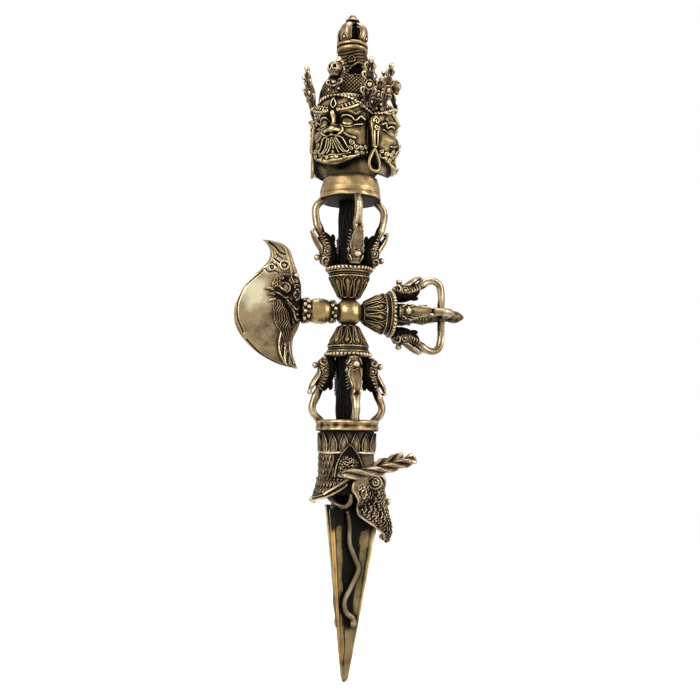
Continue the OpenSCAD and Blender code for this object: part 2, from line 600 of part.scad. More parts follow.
// A leaf at angle b on the band: shares of its lean, height and half width
leaf_half_t = 0.8;
crown_leaf_line = [[0, 0, 0.55], [0.2, 0.16, 0.6], [0.45, 0.36, 1], [0.75, 0.6, 0.85], [0.9, 0.8, 0.5],
                   [1, 1, 0.1]];
module crown_leaf(b, height, width, lean) {
  foot = band_place(b);
  z = chin_z + band_h_at(b) + band_r + air;
  tube([for (q = crown_leaf_line) [foot + lean * q[0], 0, z + height * q[1]]],
       [for (q = crown_leaf_line) [width / 2 * q[2], leaf_half_t * (0.4 + 0.6 * q[2])]], [1, 0, 0], 8);
}
skull_leaf_h = 20;
skull_leaf_lean = -7.4;
module crown_leaves() color("#a58c4e") for (a = face_turns) rotate(a + head_turn) {
  crown_leaf(0, skull_leaf_h, 9, skull_leaf_lean);
  for (s = [-1, 1]) rotate(45 * s) crown_leaf(45, crown_leaf_h, 7, 5.6);
  rotate(60) crown_leaf(60, crown_leaf_h * 0.66, 5.6, 8);
}
skull_r = 3.2;
module crown_skulls() color("#b0955a") for (a = face_turns) rotate(a + head_turn)
  translate([band_place(0) + skull_leaf_lean * 0.75 + leaf_half_t + air + skull_r + 0.5, 0,
             chin_z + band_h_at(0) + band_r + skull_leaf_h * 0.66]) difference() {
    union() {
      sphere(r = skull_r, $fn = 32);
      translate([0.9, 0, -3.9]) cylinder(r = 1.9, h = 2.4, $fn = 24);
    }
    for (s = [-1, 1]) translate([skull_r - 0.5, 1.2 * s, 0.2]) sphere(r = 0.9, $fn = 24);
  }

// Hair dome with the topknot over it and the finial's socket
finial_rod_r = 2;
finial_socket = 8;
module topknot() color("#4a3d34") translate([0, 0, hair_z]) difference() {
  rotate_extrude($fn = 96) polygon([
    [0, -hair_plug_h], [neck_r, -hair_plug_h], [neck_r, 0], [16.6, 0], [17.4, hair_h * 0.1],
    [17, hair_h * 0.24], [15, hair_h * 0.41], [11.6, hair_h * 0.52], [10.2, hair_h * 0.56],
    [10.6, hair_h * 0.64], [10, hair_h * 0.74], [8.6, hair_h * 0.88], [7.4, hair_h], [0, hair_h]]);
  translate([0, 0, hair_h - finial_socket])
    cylinder(r = finial_rod_r + slip, h = finial_socket + 1, $fn = 32);
}

module finial_base() color("#b79a55") translate([0, 0, finial_z]) difference() {
  rotate_extrude($fn = 64) polygon([
    [0, 0], [finial_r - 0.9, 0], [finial_r - 0.2, 0.7], [finial_r - 0.2, finial_base_h * 0.4],
    [finial_r - 1.2, finial_base_h * 0.5], [finial_r - 0.2, finial_base_h * 0.62],
    [finial_r - 0.2, finial_base_h - 0.6], [finial_r - 0.8, finial_base_h], [0, finial_base_h]]);
  translate([0, 0, -1]) cylinder(r = finial_rod_r + slip, h = finial_base_h + 2, $fn = 32);
}
cap_socket = 2.4;
module finial_core() color("#3a3230") translate([0, 0, rib_z]) rotate_extrude($fn = 48) polygon([
  [0, -finial_base_h - finial_socket], [finial_rod_r, -finial_base_h - finial_socket], [finial_rod_r, 0],
  [3.6, 0], [4.2, finial_h * 0.4], [finial_rod_r + 0.2, finial_h * 0.9], [finial_rod_r, finial_h],
  [finial_rod_r, finial_h + cap_socket], [0, finial_h + cap_socket]]);
module finial_ribs() color("#c3a75c") translate([0, 0, rib_z])
for (i = [0:3]) rotate(90 * i + 45) difference() {
  path = stand(smooth([[6.4, -1], [finial_r - 0.9, finial_h * 0.22], [finial_r - 0.95, finial_h * 0.5],
                       [finial_r - 2.6, finial_h * 0.8], [3.3, finial_h + 0.6]], 2));
  tube(path, [for (q = path) [2.4 * (0.5 + 0.5 * q[0] / finial_r), 0.9]], [1, 0, 0], 8);
  translate([-20, -20, -5]) cube([40, 40, 5]);
  translate([-20, -20, finial_h]) cube([40, 40, 5]);
}
module finial_cap() color("#c3a75c") translate([0, 0, cap_z]) difference() {
  rotate_extrude($fn = 64) polygon([
    [0, 0], [cap_r, 0], [cap_r + 0.1, cap_h * 0.16], [cap_r, cap_h * 0.32], [cap_r * 0.74, cap_h * 0.5],
    [cap_r * 0.5, cap_h * 0.72], [cap_r * 0.36, cap_h * 0.84], [cap_r * 0.16, cap_h], [0, cap_h]]);
  translate([0, 0, -1]) cylinder(r = finial_rod_r + slip, h = cap_socket + 1, $fn = 32);
}

// Axe arm, built towards +Z of on_hub_left
axe_socket = 8;
module axe_stud() color("#5a4a38") on_hub_left() translate([0, 0, hub_half - rod_depth])
  cylinder(r = rod_r, h = rod_depth + axe_x - hub_half + axe_socket, $fn = 32);
module axe_inner_ring() color("#94804a") on_hub_left() translate([0, 0, hub_half])
  bead_hoop(5.2, inner_ring_w, 14, rod_r);
module axe_barrel() color("#c3a75c") on_hub_left() translate([0, 0, barrel_x]) difference() {
  rotate_extrude($fn = 64) polygon([
    [0, 0], [barrel_r - 1.6, 0], [barrel_r - 0.5, barrel_len * 0.12], [barrel_r, barrel_len * 0.3],
    [barrel_r, barrel_len * 0.6], [barrel_r - 0.6, barrel_len * 0.86], [barrel_r - 1.6, barrel_len],
    [0, barrel_len]]);
  translate([0, 0, -1]) cylinder(r = rod_r + slip, h = barrel_len + 2, $fn = 32);
}
module axe_outer_ring() color("#94804a") on_hub_left() translate([0, 0, outer_ring_x])
  bead_hoop(5.8, outer_ring_w, 16, rod_r);

// Outline of the axe as shares of its width and half height, from the horn's
// point round the cutting edge to the heel and back up its spine
axe_horn = [[0.54, 1.09], [0.49, 0.96], [0.44, 0.84], [0.5, 0.74], [0.62, 0.6]];
axe_edge = [[0.84, 0.32], [0.95, 0.08], [0.966, -0.06], [0.944, -0.26], [0.84, -0.46], [0.64, -0.67],
            [0.38, -0.83]];
axe_spine = [[0.03, -0.93], [0.1, -0.76], [0.13, -0.54], [0.06, -0.34], [0, -0.2], [0, 0.22],
             [0.04, 0.52], [0.1, 0.68], [0.19, 0.98], [0.36, 1.07]];
axe_line = concat(smooth(concat(axe_horn, axe_edge), 2), smooth(axe_spine, 2));
axe_edge_t = 0.8;
function bow(s) = axe_edge_t / 2 + (axe_t - axe_edge_t) / 2 * (1 - s * s);
module lens(half) polygon(concat([for (i = [0:8]) let (s = i / 4 - 1) [s * half, bow(s)]],
  [for (i = [8:-1:0]) let (s = i / 4 - 1) [s * half, -bow(s)]]));
boss_r = 4.4;
module axe_body() {
  intersection() {
    translate([0, 6, 0]) rotate([90, 0, 0]) linear_extrude(12)
      polygon([for (q = axe_line) [max(q[0], 0) * axe_w, q[1] * axe_h / 2]]);
    translate([0, 0, -axe_h]) linear_extrude(2 * axe_h) lens(axe_w);
    translate([-1, 0, 0]) rotate([0, 90, 0]) linear_extrude(axe_w + 2) lens(axe_h * 0.6);
  }
  rotate([0, 90, 0]) cylinder(r = boss_r, h = axe_socket + 3, $fn = 48);
}
module at_axe() translate([-axe_x, 0, hub_z]) mirror([1, 0, 0]) children();
module axe_blade() color("#b79a55") at_axe() difference() {
  axe_body();
  translate([-1, 0, 0]) rotate([0, 90, 0]) cylinder(r = rod_r + slip, h = axe_socket + 1, $fn = 32);
}
// Beast's mask on both sides of the plate, biting it: rings of points round its
// middle, raised over the plate by brow, muzzle, eyes, teeth and mane
mask_mid = [8.6, 0];
mask_half = [8, 19];
mask_rings = 7;
mask_spokes = 28;
function mask_rise(u, v) =
  let (e = pow((u - mask_mid[0]) / mask_half[0], 2) + pow((v - mask_mid[1]) / mask_half[1], 2))
  4.2 * pow(max(0, 1 - e), 0.6) + 2.2 * hump(norm([u - 10, v - 6.5]), 3.6)
  + 1.6 * hump(norm([u - 13, v - 2]), 2.6) + 1.2 * hump(norm([u - 7, v - 11]), 2)
  - 1.1 * hump(norm([u - 10.5, v + 1.8]), 1.8) + 0.5;
module axe_mask() color("#8f7a42") at_axe() {
  base = axe_t / 2 + air;
  pts = [for (i = [1:mask_rings]) for (j = [0:mask_spokes - 1])
    let (a = 360 * j / mask_spokes, f = i / mask_rings * (i == mask_rings ? 1 + 0.05 * cos(a * 7) : 1),
         u = mask_mid[0] + f * mask_half[0] * cos(a), v = mask_mid[1] + f * mask_half[1] * sin(a))
    [u, v, base + mask_rise(u, v) - (i == mask_rings ? 0.3 : 0)]];
  n = mask_spokes;
  o = n * mask_rings;
  rim = n * (mask_rings - 1);
  floor_pts = [for (j = [0:n - 1]) [pts[rim + j][0], pts[rim + j][1], base]];
  top = [mask_mid[0], mask_mid[1], base + mask_rise(mask_mid[0], mask_mid[1])];
  for (s = [0, 1]) mirror([0, s, 0]) rotate([90, 0, 0]) difference() {
    polyhedron(concat(pts, floor_pts, [top, [top[0], top[1], base]]),
      concat([for (j = [0:n - 1]) [o + n, (j + 1) % n, j]],
             [for (i = [0:mask_rings - 2]) for (j = [0:n - 1]) let (k = (j + 1) % n, p = i * n)
               for (f = [[p + j, p + k, p + n + k], [p + j, p + n + k, p + n + j]]) f],
             [for (j = [0:n - 1]) let (k = (j + 1) % n, p = rim)
               for (f = [[p + j, p + k, o + k], [p + j, o + k, o + j], [o + j, o + k, o + n + 1]]) f]));
    rotate([0, 90, 0]) translate([0, 0, -1]) cylinder(r = boss_r + air, h = axe_socket + 4 + air, $fn = 48);
    translate([-10, -axe_h / 2, -1]) cube([10, axe_h, 20]);
  }
}

// Vajra arm, built towards +Z of on_hub_right
module arm_lotus() color("#94804a") on_hub_right() translate([0, 0, hub_half]) lotus();
module arm_beads() color("#94804a") on_hub_right() translate([0, 0, arm_ring_x - bead_h]) beads();
module arm_core() color("#a58c4e") on_hub_right() translate([0, 0, arm_ring_x])
rotate_extrude($fn = 48) polygon([
  [0, -rod_down], [rod_r, -rod_down], [rod_r, 0], [5.4, 0], [5.6, 6], [point_r + 0.4, 14], [point_r, 18],
  [point_r, arm_cage_h + prong_t], [point_r * 0.8, arm_cage_h + point_len * 0.35],
  [point_r * 0.95, arm_cage_h + point_len * 0.55], [point_r * 0.7, arm_cage_h + point_len * 0.8],
  [0.3, arm_cage_h + point_len], [0, arm_cage_h + point_len]]);
module arm_prong_at(i) color("#a58c4e") on_hub_right()
  translate([0, 0, arm_ring_x]) rotate(90 * i) arm_prong();

blade();
naga_right();
naga_left();
naga_back();
sleeve();
leaf_ring();
ear_leaves();
snout();
lower_jaw();
horns();
mouth_loops();
lower_collar();
lower_core();
lower_beads();
lower_lotus();
hub();
upper_lotus();
upper_beads();
upper_core();
upper_collar();
neck();
head();
ears();
crown_band();
crown_leaves();
crown_skulls();
topknot();
finial_base();
finial_core();
finial_ribs();
finial_cap();
axe_stud();
axe_inner_ring();
axe_barrel();
axe_outer_ring();
axe_blade();
axe_mask();
arm_lotus();
arm_beads();
arm_core();
for (i = [0:2]) {
  earring(half_turns[i]);
}
for (i = [0:3]) {
  lower_prong(i);
  upper_prong(i);
  arm_prong_at(i);
}
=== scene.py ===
# %% [markdown]
# A phurba is a ritual dagger with a three-edged blade. This one is cast in
# brass: from the tip up come the blade in a sea-dragon's mouth, a cage of four
# prongs, a ball with an axe and a half vajra for arms, a second cage, and a
# head with three faces under a crown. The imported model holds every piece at
# its real size. Here each piece gets the relief that a founder would cut into
# the wax, and one family of brass finishes.

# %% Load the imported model
import bpy
import numpy as np
from mathutils import Matrix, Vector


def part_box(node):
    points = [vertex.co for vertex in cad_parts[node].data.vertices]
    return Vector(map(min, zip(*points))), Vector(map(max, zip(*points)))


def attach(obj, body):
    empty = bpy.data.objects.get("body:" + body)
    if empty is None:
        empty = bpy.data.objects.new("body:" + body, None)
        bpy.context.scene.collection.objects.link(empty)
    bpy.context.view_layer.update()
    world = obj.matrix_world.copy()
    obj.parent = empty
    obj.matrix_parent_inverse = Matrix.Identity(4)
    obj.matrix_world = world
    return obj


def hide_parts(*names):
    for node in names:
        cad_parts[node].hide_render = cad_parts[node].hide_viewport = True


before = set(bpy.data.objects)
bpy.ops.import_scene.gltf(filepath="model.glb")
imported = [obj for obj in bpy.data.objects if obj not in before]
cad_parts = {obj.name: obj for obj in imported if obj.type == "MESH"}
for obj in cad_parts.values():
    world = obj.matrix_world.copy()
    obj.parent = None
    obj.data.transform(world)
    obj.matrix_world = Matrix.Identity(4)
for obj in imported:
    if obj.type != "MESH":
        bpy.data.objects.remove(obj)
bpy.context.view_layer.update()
MM = 0.001


def span(node):
    """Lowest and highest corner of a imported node, in millimetres."""
    low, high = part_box(node)
    return np.array(low) / MM, np.array(high) / MM


TOP_Z = span("finial_cap")[1][2]
print("nodes", len(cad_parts), "height mm", round(TOP_Z, 1))

# %% [markdown]
# The photograph was taken from half a metre, level with the lower third of the
# dagger and tilted up a little, with the dagger turned 14 degrees. A lens that
# is slightly longer than normal gives the same perspective.

# %% Camera
CAMERA_AWAY = 477
CAMERA_HEIGHT = 130.2
CAMERA_TURN = -14
CAMERA_TILT = 4.7
CAMERA_ROLL = 0.8
CAMERA_SIDE = 1.0
FOCAL = 914 / 700 * 36
turn = Matrix.Rotation(np.radians(CAMERA_TURN), 4, "Z")
tilt = Matrix.Rotation(np.radians(90 + CAMERA_TILT), 4, "X")
roll = Matrix.Rotation(np.radians(CAMERA_ROLL), 4, "Z")
place = Matrix.Translation((CAMERA_SIDE * MM, -CAMERA_AWAY * MM, CAMERA_HEIGHT * MM))
camera = bpy.data.objects.new("camera", bpy.data.cameras.new("camera"))
camera.data.lens = FOCAL
camera.data.sensor_width = 36
camera.matrix_world = turn @ place @ tilt @ roll
bpy.context.collection.objects.link(camera)
bpy.context.scene.camera = camera
print("lens mm", round(FOCAL, 1))

# %% [markdown]
# A piece here is a shape: an array of points and the quads and triangles
# between them. Nearly every shape is a pile of rings, because a casting is a
# closed skin: each row of points is a closed loop, the rows follow each other,
# and a point in the middle of the first and last row closes the ends.


# %% Rings of points to a closed skin
def flipped(shape):
    """The same skin with its faces turned round."""
    points, quads, tris = shape
    return points, quads[:, ::-1], tris[:, ::-1]


def volume(shape):
    """Volume inside a skin: the sum of the tetrahedra from the origin to each face."""
    p, quads, tris = shape
    faces = np.vstack([quads[:, [0, 1, 2]], quads[:, [0, 2, 3]], tris])
    return np.einsum("ij,ij->i", p[faces[:, 0]], np.cross(p[faces[:, 1]], p[faces[:, 2]])).sum() / 6


def closed(rings, loop=False):
    """A closed skin over rings[row, step]. The rows' ends get a pole each, or meet if loop is set.
    The faces are turned so that the volume inside is positive."""
    rows, steps = rings.shape[:2]
    points = rings.reshape(-1, 3)
    r = np.arange(rows if loop else rows - 1)[:, None]
    c = np.arange(steps)[None, :]
    after, above = (c + 1) % steps, (r + 1) % rows
    quads = np.stack([r * steps + c, r * steps + after, above * steps + after, above * steps + c], -1)
    tris = np.zeros((0, 3), int)
    if not loop:
        c = np.arange(steps)
        after = (c + 1) % steps
        low = np.c_[np.full(steps, rows * steps), after, c]
        high = np.c_[np.full(steps, rows * steps + 1), c + (rows - 1) * steps, after + (rows - 1) * steps]
        points = np.vstack([points, rings[[0, -1]].mean(axis=1)])
        tris = np.vstack([low, high])
    shape = (points, quads.reshape(-1, 4), tris)
    return shape if volume(shape) > 0 else flipped(shape)


def together(shapes):
    """Several skins as one shape."""
    starts = np.cumsum([0] + [len(s[0]) for s in shapes[:-1]])
    return (np.vstack([s[0] for s in shapes]),
            np.vstack([s[1] + o for s, o in zip(shapes, starts)]),
            np.vstack([s[2] + o for s, o in zip(shapes, starts)]))


def moved(shape, matrix=np.eye(3), offset=(0, 0, 0)):
    """A shape turned or mirrored by a 3x3 matrix and then shifted."""
    points, quads, tris = shape
    result = (points @ np.asarray(matrix, float).T + np.asarray(offset, float), quads, tris)
    return flipped(result) if np.linalg.det(matrix) < 0 else result


def about_z(degrees):
    """Matrix of a turn about the dagger's axis."""
    c, s = np.cos(np.radians(degrees)), np.sin(np.radians(degrees))
    return np.array([[c, -s, 0], [s, c, 0], [0, 0, 1.0]])


# %% [markdown]
# Three ways of making rings cover the whole dagger: an oval carried along a
# bent path for prongs, horns and curls, a profile turned round the axis for
# cups and collars, and small balls for beads.


# %% Paths, sweeps, turned profiles and beads
def curve(knots, count):
    """A smooth path of count points through the knots: the cubic of each stretch leans on the
    knots before and after it."""
    p = np.asarray(knots, float)
    p = np.vstack([2 * p[0] - p[1], p, 2 * p[-1] - p[-2]])
    s = np.linspace(0, len(p) - 3, count)
    i = np.minimum(s.astype(int), len(p) - 4)
    t = (s - i)[:, None]
    a, b, c, d = p[i], p[i + 1], p[i + 2], p[i + 3]
    return 0.5 * (2 * b + (c - a) * t + (2 * a - 5 * b + 4 * c - d) * t**2 + (3 * b - a - 3 * c + d) * t**3)


def unit(v):
    """Arrows of the same directions with the length 1."""
    return v / np.maximum(np.linalg.norm(v, axis=-1, keepdims=True), 1e-9)


def swept(path, across, along, side=(0, 1, 0), steps=12, twist=0.0, lobes=0, depth=0.0, relief=None):
    """An oval carried along a path. Its half widths are along (towards side) and across; the oval
    turns by twist radians on the way, has some lobes, and relief(s, u) is added to its radius."""
    path = np.asarray(path, float)
    s = np.linspace(0, 1, len(path))[:, None]
    u = np.linspace(0, 2 * np.pi, steps, endpoint=False)[None, :]
    tangent = unit(np.gradient(path, axis=0))
    a = unit(np.cross(tangent, np.asarray(side, float)))
    b = np.cross(a, tangent)
    grow = 1 + depth * np.cos(lobes * u)
    across, along = np.broadcast_to(across, len(path))[:, None], np.broadcast_to(along, len(path))[:, None]
    rise = 0 if relief is None else relief(s, u)
    p = (across * grow + rise) * np.cos(u + twist * s)
    q = (along * grow + rise) * np.sin(u + twist * s)
    return closed(path[:, None] + p[..., None] * a[:, None] + q[..., None] * b[:, None])


def round_axis(r, a, z):
    """Points at the distance r from the axis, the angle a and the height z."""
    r, a, z = np.broadcast_arrays(r, a, z)
    return np.stack([r * np.cos(a), r * np.sin(a), z], -1)


def shell(front, rear):
    """A closed skin between two sheets of points that lie over each other."""
    return closed(np.concatenate([front, rear[:, ::-1]], axis=1))


def turned(profile, steps, relief=None):
    """A profile of (radius, height) turned round the axis. relief(angle, height, radius) in
    millimetres pushes the skin outwards."""
    r, z = np.asarray(profile, float).T[:, :, None]
    a = np.linspace(0, 2 * np.pi, steps, endpoint=False)[None, :]
    r = r + 0 * a
    if relief is not None:
        r = r + relief(a + 0 * r, z + 0 * r, r)
    return closed(round_axis(r, a, z))


def ball(centre, radius, around=12, rows=7):
    """A small closed ball of a few rings."""
    h = np.linspace(-np.pi / 2, np.pi / 2, rows + 2)[1:-1, None]
    a = np.linspace(0, 2 * np.pi, around, endpoint=False)[None, :]
    rings = np.stack([np.cos(h) * np.cos(a), np.cos(h) * np.sin(a), np.sin(h) + 0 * a], -1)
    points, quads, tris = closed(rings)
    points[-2:, 2] = [-1, 1]
    return points * radius + np.asarray(centre, float), quads, tris


def fine(profile, gap):
    """A profile with extra points, so that none lie further apart than gap."""
    p = np.asarray(profile, float)
    parts = [np.linspace(a, b, max(1, int(np.ceil(np.linalg.norm(b - a) / gap))), endpoint=False)
             for a, b in zip(p[:-1], p[1:])]
    return np.vstack(parts + [p[-1:]])


# %% [markdown]
# Carving is added to a skin as a height. A carved line is a ridge whose height
# depends only on the distance to the line, so one distance function draws
# eyelids, brows, scrolls, veins and hair.


# %% Carved lines, curls and unevenness
def cut(x):
    """x, but at least 0 and at most 1."""
    return np.clip(x, 0, 1)


def near(x, y, line):
    """Distance from every point of a sheet (x, y) to a line of points."""
    best = np.full(np.broadcast(x, y).shape, 1e9)
    for (ax, ay), (bx, by) in zip(line[:-1], line[1:]):
        dx, dy = bx - ax, by - ay
        t = cut(((x - ax) * dx + (y - ay) * dy) / max(dx * dx + dy * dy, 1e-9))
        best = np.minimum(best, np.hypot(x - ax - t * dx, y - ay - t * dy))
    return best


def ridge(distance, half_width):
    """A rounded ridge: 1 on its line and 0 from half_width on."""
    return np.sqrt(cut(1 - (distance / half_width) ** 2))


def hump(distance, width):
    """A soft hump: 1 in its middle, fading within about twice the width."""
    return np.exp(-((distance / width) ** 2))


def drawn(x, y, line, half_width):
    """A rounded ridge along a line of points on a sheet (x, y)."""
    return ridge(near(x, y, line), half_width)


def carved(x, y, rows, detail):
    """Height of carved lines on a sheet (x, y). Each row holds a line's knots, half width and height."""
    return sum(high * drawn(x, y, curve(knots, detail * len(knots)), half) for knots, half, high in rows)


def from_axis(points):
    """Distance of points from the dagger's axis."""
    return np.hypot(points[..., 0], points[..., 1])


def bearing(points):
    """Angle of points about the dagger's axis, in degrees."""
    return np.degrees(np.arctan2(points[:, 1], points[:, 0]))


def curl(x, y, size, turns, start, hand=1, count=40):
    """Points of a spiral round (x, y) that winds in from radius size, starting at an angle in degrees."""
    t = np.linspace(0, 1, count)
    r = size * (1 - 0.85 * t)
    a = np.radians(start) + hand * 2 * np.pi * turns * t
    return np.c_[x + r * np.cos(a), y + r * np.sin(a)]


def uneven(points, size, seed):
    """Unevenness of about -1 to 1: ten waves about size mm long, in seeded directions."""
    rng = np.random.default_rng(seed)
    k = unit(rng.normal(size=(10, 3))) * 2 * np.pi / size * rng.uniform(0.6, 1.5, (10, 1))
    return np.sin(points @ k.T + rng.uniform(0, 2 * np.pi, 10)).sum(-1) / 3


# %% [markdown]
# Handling rubs the heights bright and leaves the hollows black. How far a point
# stands out is measured on the mesh itself: the skin is smoothed over a small
# and a larger distance, and what stands out over the smooth skin is a height.


# %% Wear from the shape
def worn(shape, small=0.35, large=1.4):
    """From 0 in a hollow to 1 on a height. The skin is smoothed step by step towards the mean of
    each point's neighbours; the step count is the square of distance over edge length."""
    points, quads, tris = shape
    edges = np.vstack([quads[:, [0, 1]], quads[:, [1, 2]], quads[:, [2, 3]], quads[:, [3, 0]],
                       tris[:, [0, 1]], tris[:, [1, 2]], tris[:, [2, 0]]])
    faces = np.vstack([quads[:, [0, 1, 2]], quads[:, [0, 2, 3]], tris])
    flat = np.cross(points[faces[:, 1]] - points[faces[:, 0]], points[faces[:, 2]] - points[faces[:, 0]])
    count = len(points)
    normal = unit(np.stack([sum(np.bincount(faces[:, k], flat[:, i], count) for k in range(3))
                            for i in range(3)], 1))
    gap = np.median(np.linalg.norm(points[edges[:, 0]] - points[edges[:, 1]], axis=1))
    degree = np.maximum(np.bincount(edges[:, 0], minlength=count), 1)
    smooth, done, result = points.copy(), 0, np.full(count, 0.5)
    for reach, weight in ((small, 0.22), (large, 0.3)):
        for _ in range(int(np.clip((reach / gap) ** 2, 1, 40)) - done):
            mean = np.stack([np.bincount(edges[:, 0], smooth[edges[:, 1], i], count) for i in range(3)], 1)
            smooth = 0.5 * smooth + 0.5 * mean / degree[:, None]
            done += 1
        height = np.einsum("ij,ij->i", points - smooth, normal)
        result += weight * np.tanh(height / (0.16 * reach))
    return cut(result)


def cast(name, shape, finish, slot, *nodes, shade_and_soot=None):
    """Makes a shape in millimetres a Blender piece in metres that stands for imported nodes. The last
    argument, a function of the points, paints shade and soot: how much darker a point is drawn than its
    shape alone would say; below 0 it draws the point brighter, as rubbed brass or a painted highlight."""
    points, quads, tris = shape
    wear_and_shade = worn(shape) - (0 if shade_and_soot is None else shade_and_soot(points))
    corners = np.concatenate([quads.ravel(), tris.ravel()]).astype(np.int32)
    starts = np.concatenate([np.arange(len(quads)) * 4, len(quads) * 4 + np.arange(len(tris)) * 3])
    mesh = bpy.data.meshes.new(name)
    mesh.vertices.add(len(points))
    mesh.vertices.foreach_set("co", (points * MM).astype(np.float32).ravel())
    mesh.loops.add(len(corners))
    mesh.loops.foreach_set("vertex_index", corners)
    mesh.polygons.add(len(starts))
    mesh.polygons.foreach_set("loop_start", starts.astype(np.int32))
    mesh.polygons.foreach_set("use_smooth", np.ones(len(starts), bool))
    mesh.update(calc_edges=True)
    # The layer holds the wear from the shape less the painted shade and soot.
    layer = mesh.attributes.new("wear_and_shade", "FLOAT", "POINT")
    layer.data.foreach_set("value", np.clip(wear_and_shade, -0.5, 1).astype(np.float32))
    mesh.materials.append(finish)
    piece = bpy.data.objects.new(name, mesh)
    bpy.context.collection.objects.link(piece)
    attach(piece, "root")
    if nodes:
        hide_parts(*nodes)
    print(name, len(quads) * 2 + len(tris), "triangles")
    return piece


# %% [markdown]
# The metal is cast brass, about two thirds copper and one third zinc, with a
# dark patina of oxide and polishing soot. It was cast in lost wax, chased, and
# then rubbed on the heights only. So one recipe serves: nearly black and rough
# where the skin lies deep, which is patina deepened with painted shade, olive
# brass in between, and pale yellow brass where hands and the buffing wheel
# reach. The patina is an oxide and hardly metallic. Metals keep the shader's
# default IOR.


# %% Colour and node helpers
def linear(code):
    """The linear colour of an sRGB hex value, with alpha 1."""
    c = np.array([int(code[i:i + 2], 16) for i in (1, 3, 5)]) / 255
    return (*np.where(c <= 0.04045, c / 12.92, ((c + 0.055) / 1.055) ** 2.4), 1.0)


def add(tree, kind, inputs=None, **settings):
    """Adds a node with its settings. Each input gets a value, or a link if it is a socket."""
    node = tree.nodes.new(kind)
    for key, value in settings.items():
        setattr(node, key, value)
    for key, value in (inputs or {}).items():
        if isinstance(value, bpy.types.NodeSocket):
            tree.links.new(value, node.inputs[key])
        else:
            node.inputs[key].default_value = value
    return node


def new_material(name):
    """An empty material and its node tree."""
    material = bpy.data.materials.new(name)
    material.use_nodes = True
    material.node_tree.nodes.clear()
    return material, material.node_tree


def noise(tree, place, size, detail):
    """Cloudy noise of about size mm between its clouds, from 0 to 1."""
    values = {"Vector": place, "Scale": 1 / (size * MM), "Detail": detail}
    return add(tree, "ShaderNodeTexNoise", values).outputs["Fac"]


def reckon(tree, operation, *values):
    """The result of a sum or product of values and sockets."""
    return add(tree, "ShaderNodeMath", dict(enumerate(values)), operation=operation).outputs[0]


def ranged(tree, value, low, high, at_low, at_high):
    """Turns a value between low and high into one between at_low and at_high."""
    values = {0: value, 1: low, 2: high, 3: at_low, 4: at_high}
    return add(tree, "ShaderNodeMapRange", values).outputs["Result"]


GRIT = 0.35      # mm between the pits of the cast skin, drawn a little coarser than real
HAMMER = 2.6     # mm between soft dents of filing and rubbing
PATCH = 7.0      # mm across a cloud of thicker patina
PIT_DEPTH = 0.05     # mm
DENT_DEPTH = 0.3     # mm
SOOT_GLOSS = 0.08    # soot is porous, so that its skin shines less than a smooth oxide's
SOOT_ROUGH = 0.62
SOOT_METAL = 0.25    # brass still shows through the thinner soot
# Ambient occlusion paints shade into the hollows and where pieces meet, over the patina that lies there;
# AO_WEIGHT is how much.
AO_WEIGHT = 0.9      # how much of the patina follows the depth of the place
CLOUD_WEIGHT = 0.5
PIT_WEIGHT = 0.25
PLAIN_WEAR = 0.62    # the wear of a plain piece, which has no carving to measure


def cast_brass(name, bright, body, grime_and_shade, open_level, polish, dents, carved=True, ao_reach=4.0):
    """Brass under patina. How open a spot lies is its wear, its ambient occlusion and some clouds; the
    ambient occlusion paints shade into hollows. A colour ramp turns that into patina darkened with
    painted shade, brass and rubbed brass; open_level shifts it up or down."""
    material, tree = new_material(name)
    place = add(tree, "ShaderNodeTexCoord").outputs["Object"]
    pits = noise(tree, place, GRIT, 3.0)
    soft = noise(tree, place, HAMMER, 2.0)
    clouds = noise(tree, place, PATCH, 4.0)
    shade = add(tree, "ShaderNodeAmbientOcclusion", {"Distance": ao_reach * MM}, samples=8).outputs["AO"]
    level = reckon(tree, "MULTIPLY_ADD", shade, AO_WEIGHT, open_level - AO_WEIGHT)
    wear_and_shade = add(tree, "ShaderNodeAttribute", attribute_name="wear_and_shade").outputs["Fac"] if carved else PLAIN_WEAR
    level = reckon(tree, "ADD", level, wear_and_shade)
    level = reckon(tree, "MULTIPLY_ADD", clouds, CLOUD_WEIGHT, level)
    level = reckon(tree, "MULTIPLY_ADD", pits, PIT_WEIGHT, level)
    level = reckon(tree, "SUBTRACT", level, (CLOUD_WEIGHT + PIT_WEIGHT) / 2)
    ramp = add(tree, "ShaderNodeValToRGB", {0: level})
    stops = ramp.color_ramp.elements
    for position, colour in ((0.3, grime_and_shade), (0.52, body), (0.64, body), (0.86, bright)):
        stop = stops.new(position)
        stop.color = linear(colour)
    stops.remove(stops[0])
    stops.remove(stops[-1])
    pitted = add(tree, "ShaderNodeBump", {"Height": pits, "Strength": 0.35, "Distance": PIT_DEPTH * MM})
    dented = add(tree, "ShaderNodeBump", {"Height": soft, "Strength": dents, "Distance": DENT_DEPTH * MM,
                                          "Normal": pitted.outputs["Normal"]})
    shader = add(tree, "ShaderNodeBsdfPrincipled", {
        "Base Color": ramp.outputs["Color"], "Metallic": ranged(tree, level, 0.15, 0.45, SOOT_METAL, 1.0),
        "Roughness": ranged(tree, level, 0.15, 0.8, SOOT_ROUGH, polish),
        "Specular IOR Level": SOOT_GLOSS, "Normal": dented.outputs["Normal"]})
    add(tree, "ShaderNodeOutputMaterial", {"Surface": shader.outputs["BSDF"]})
    return material
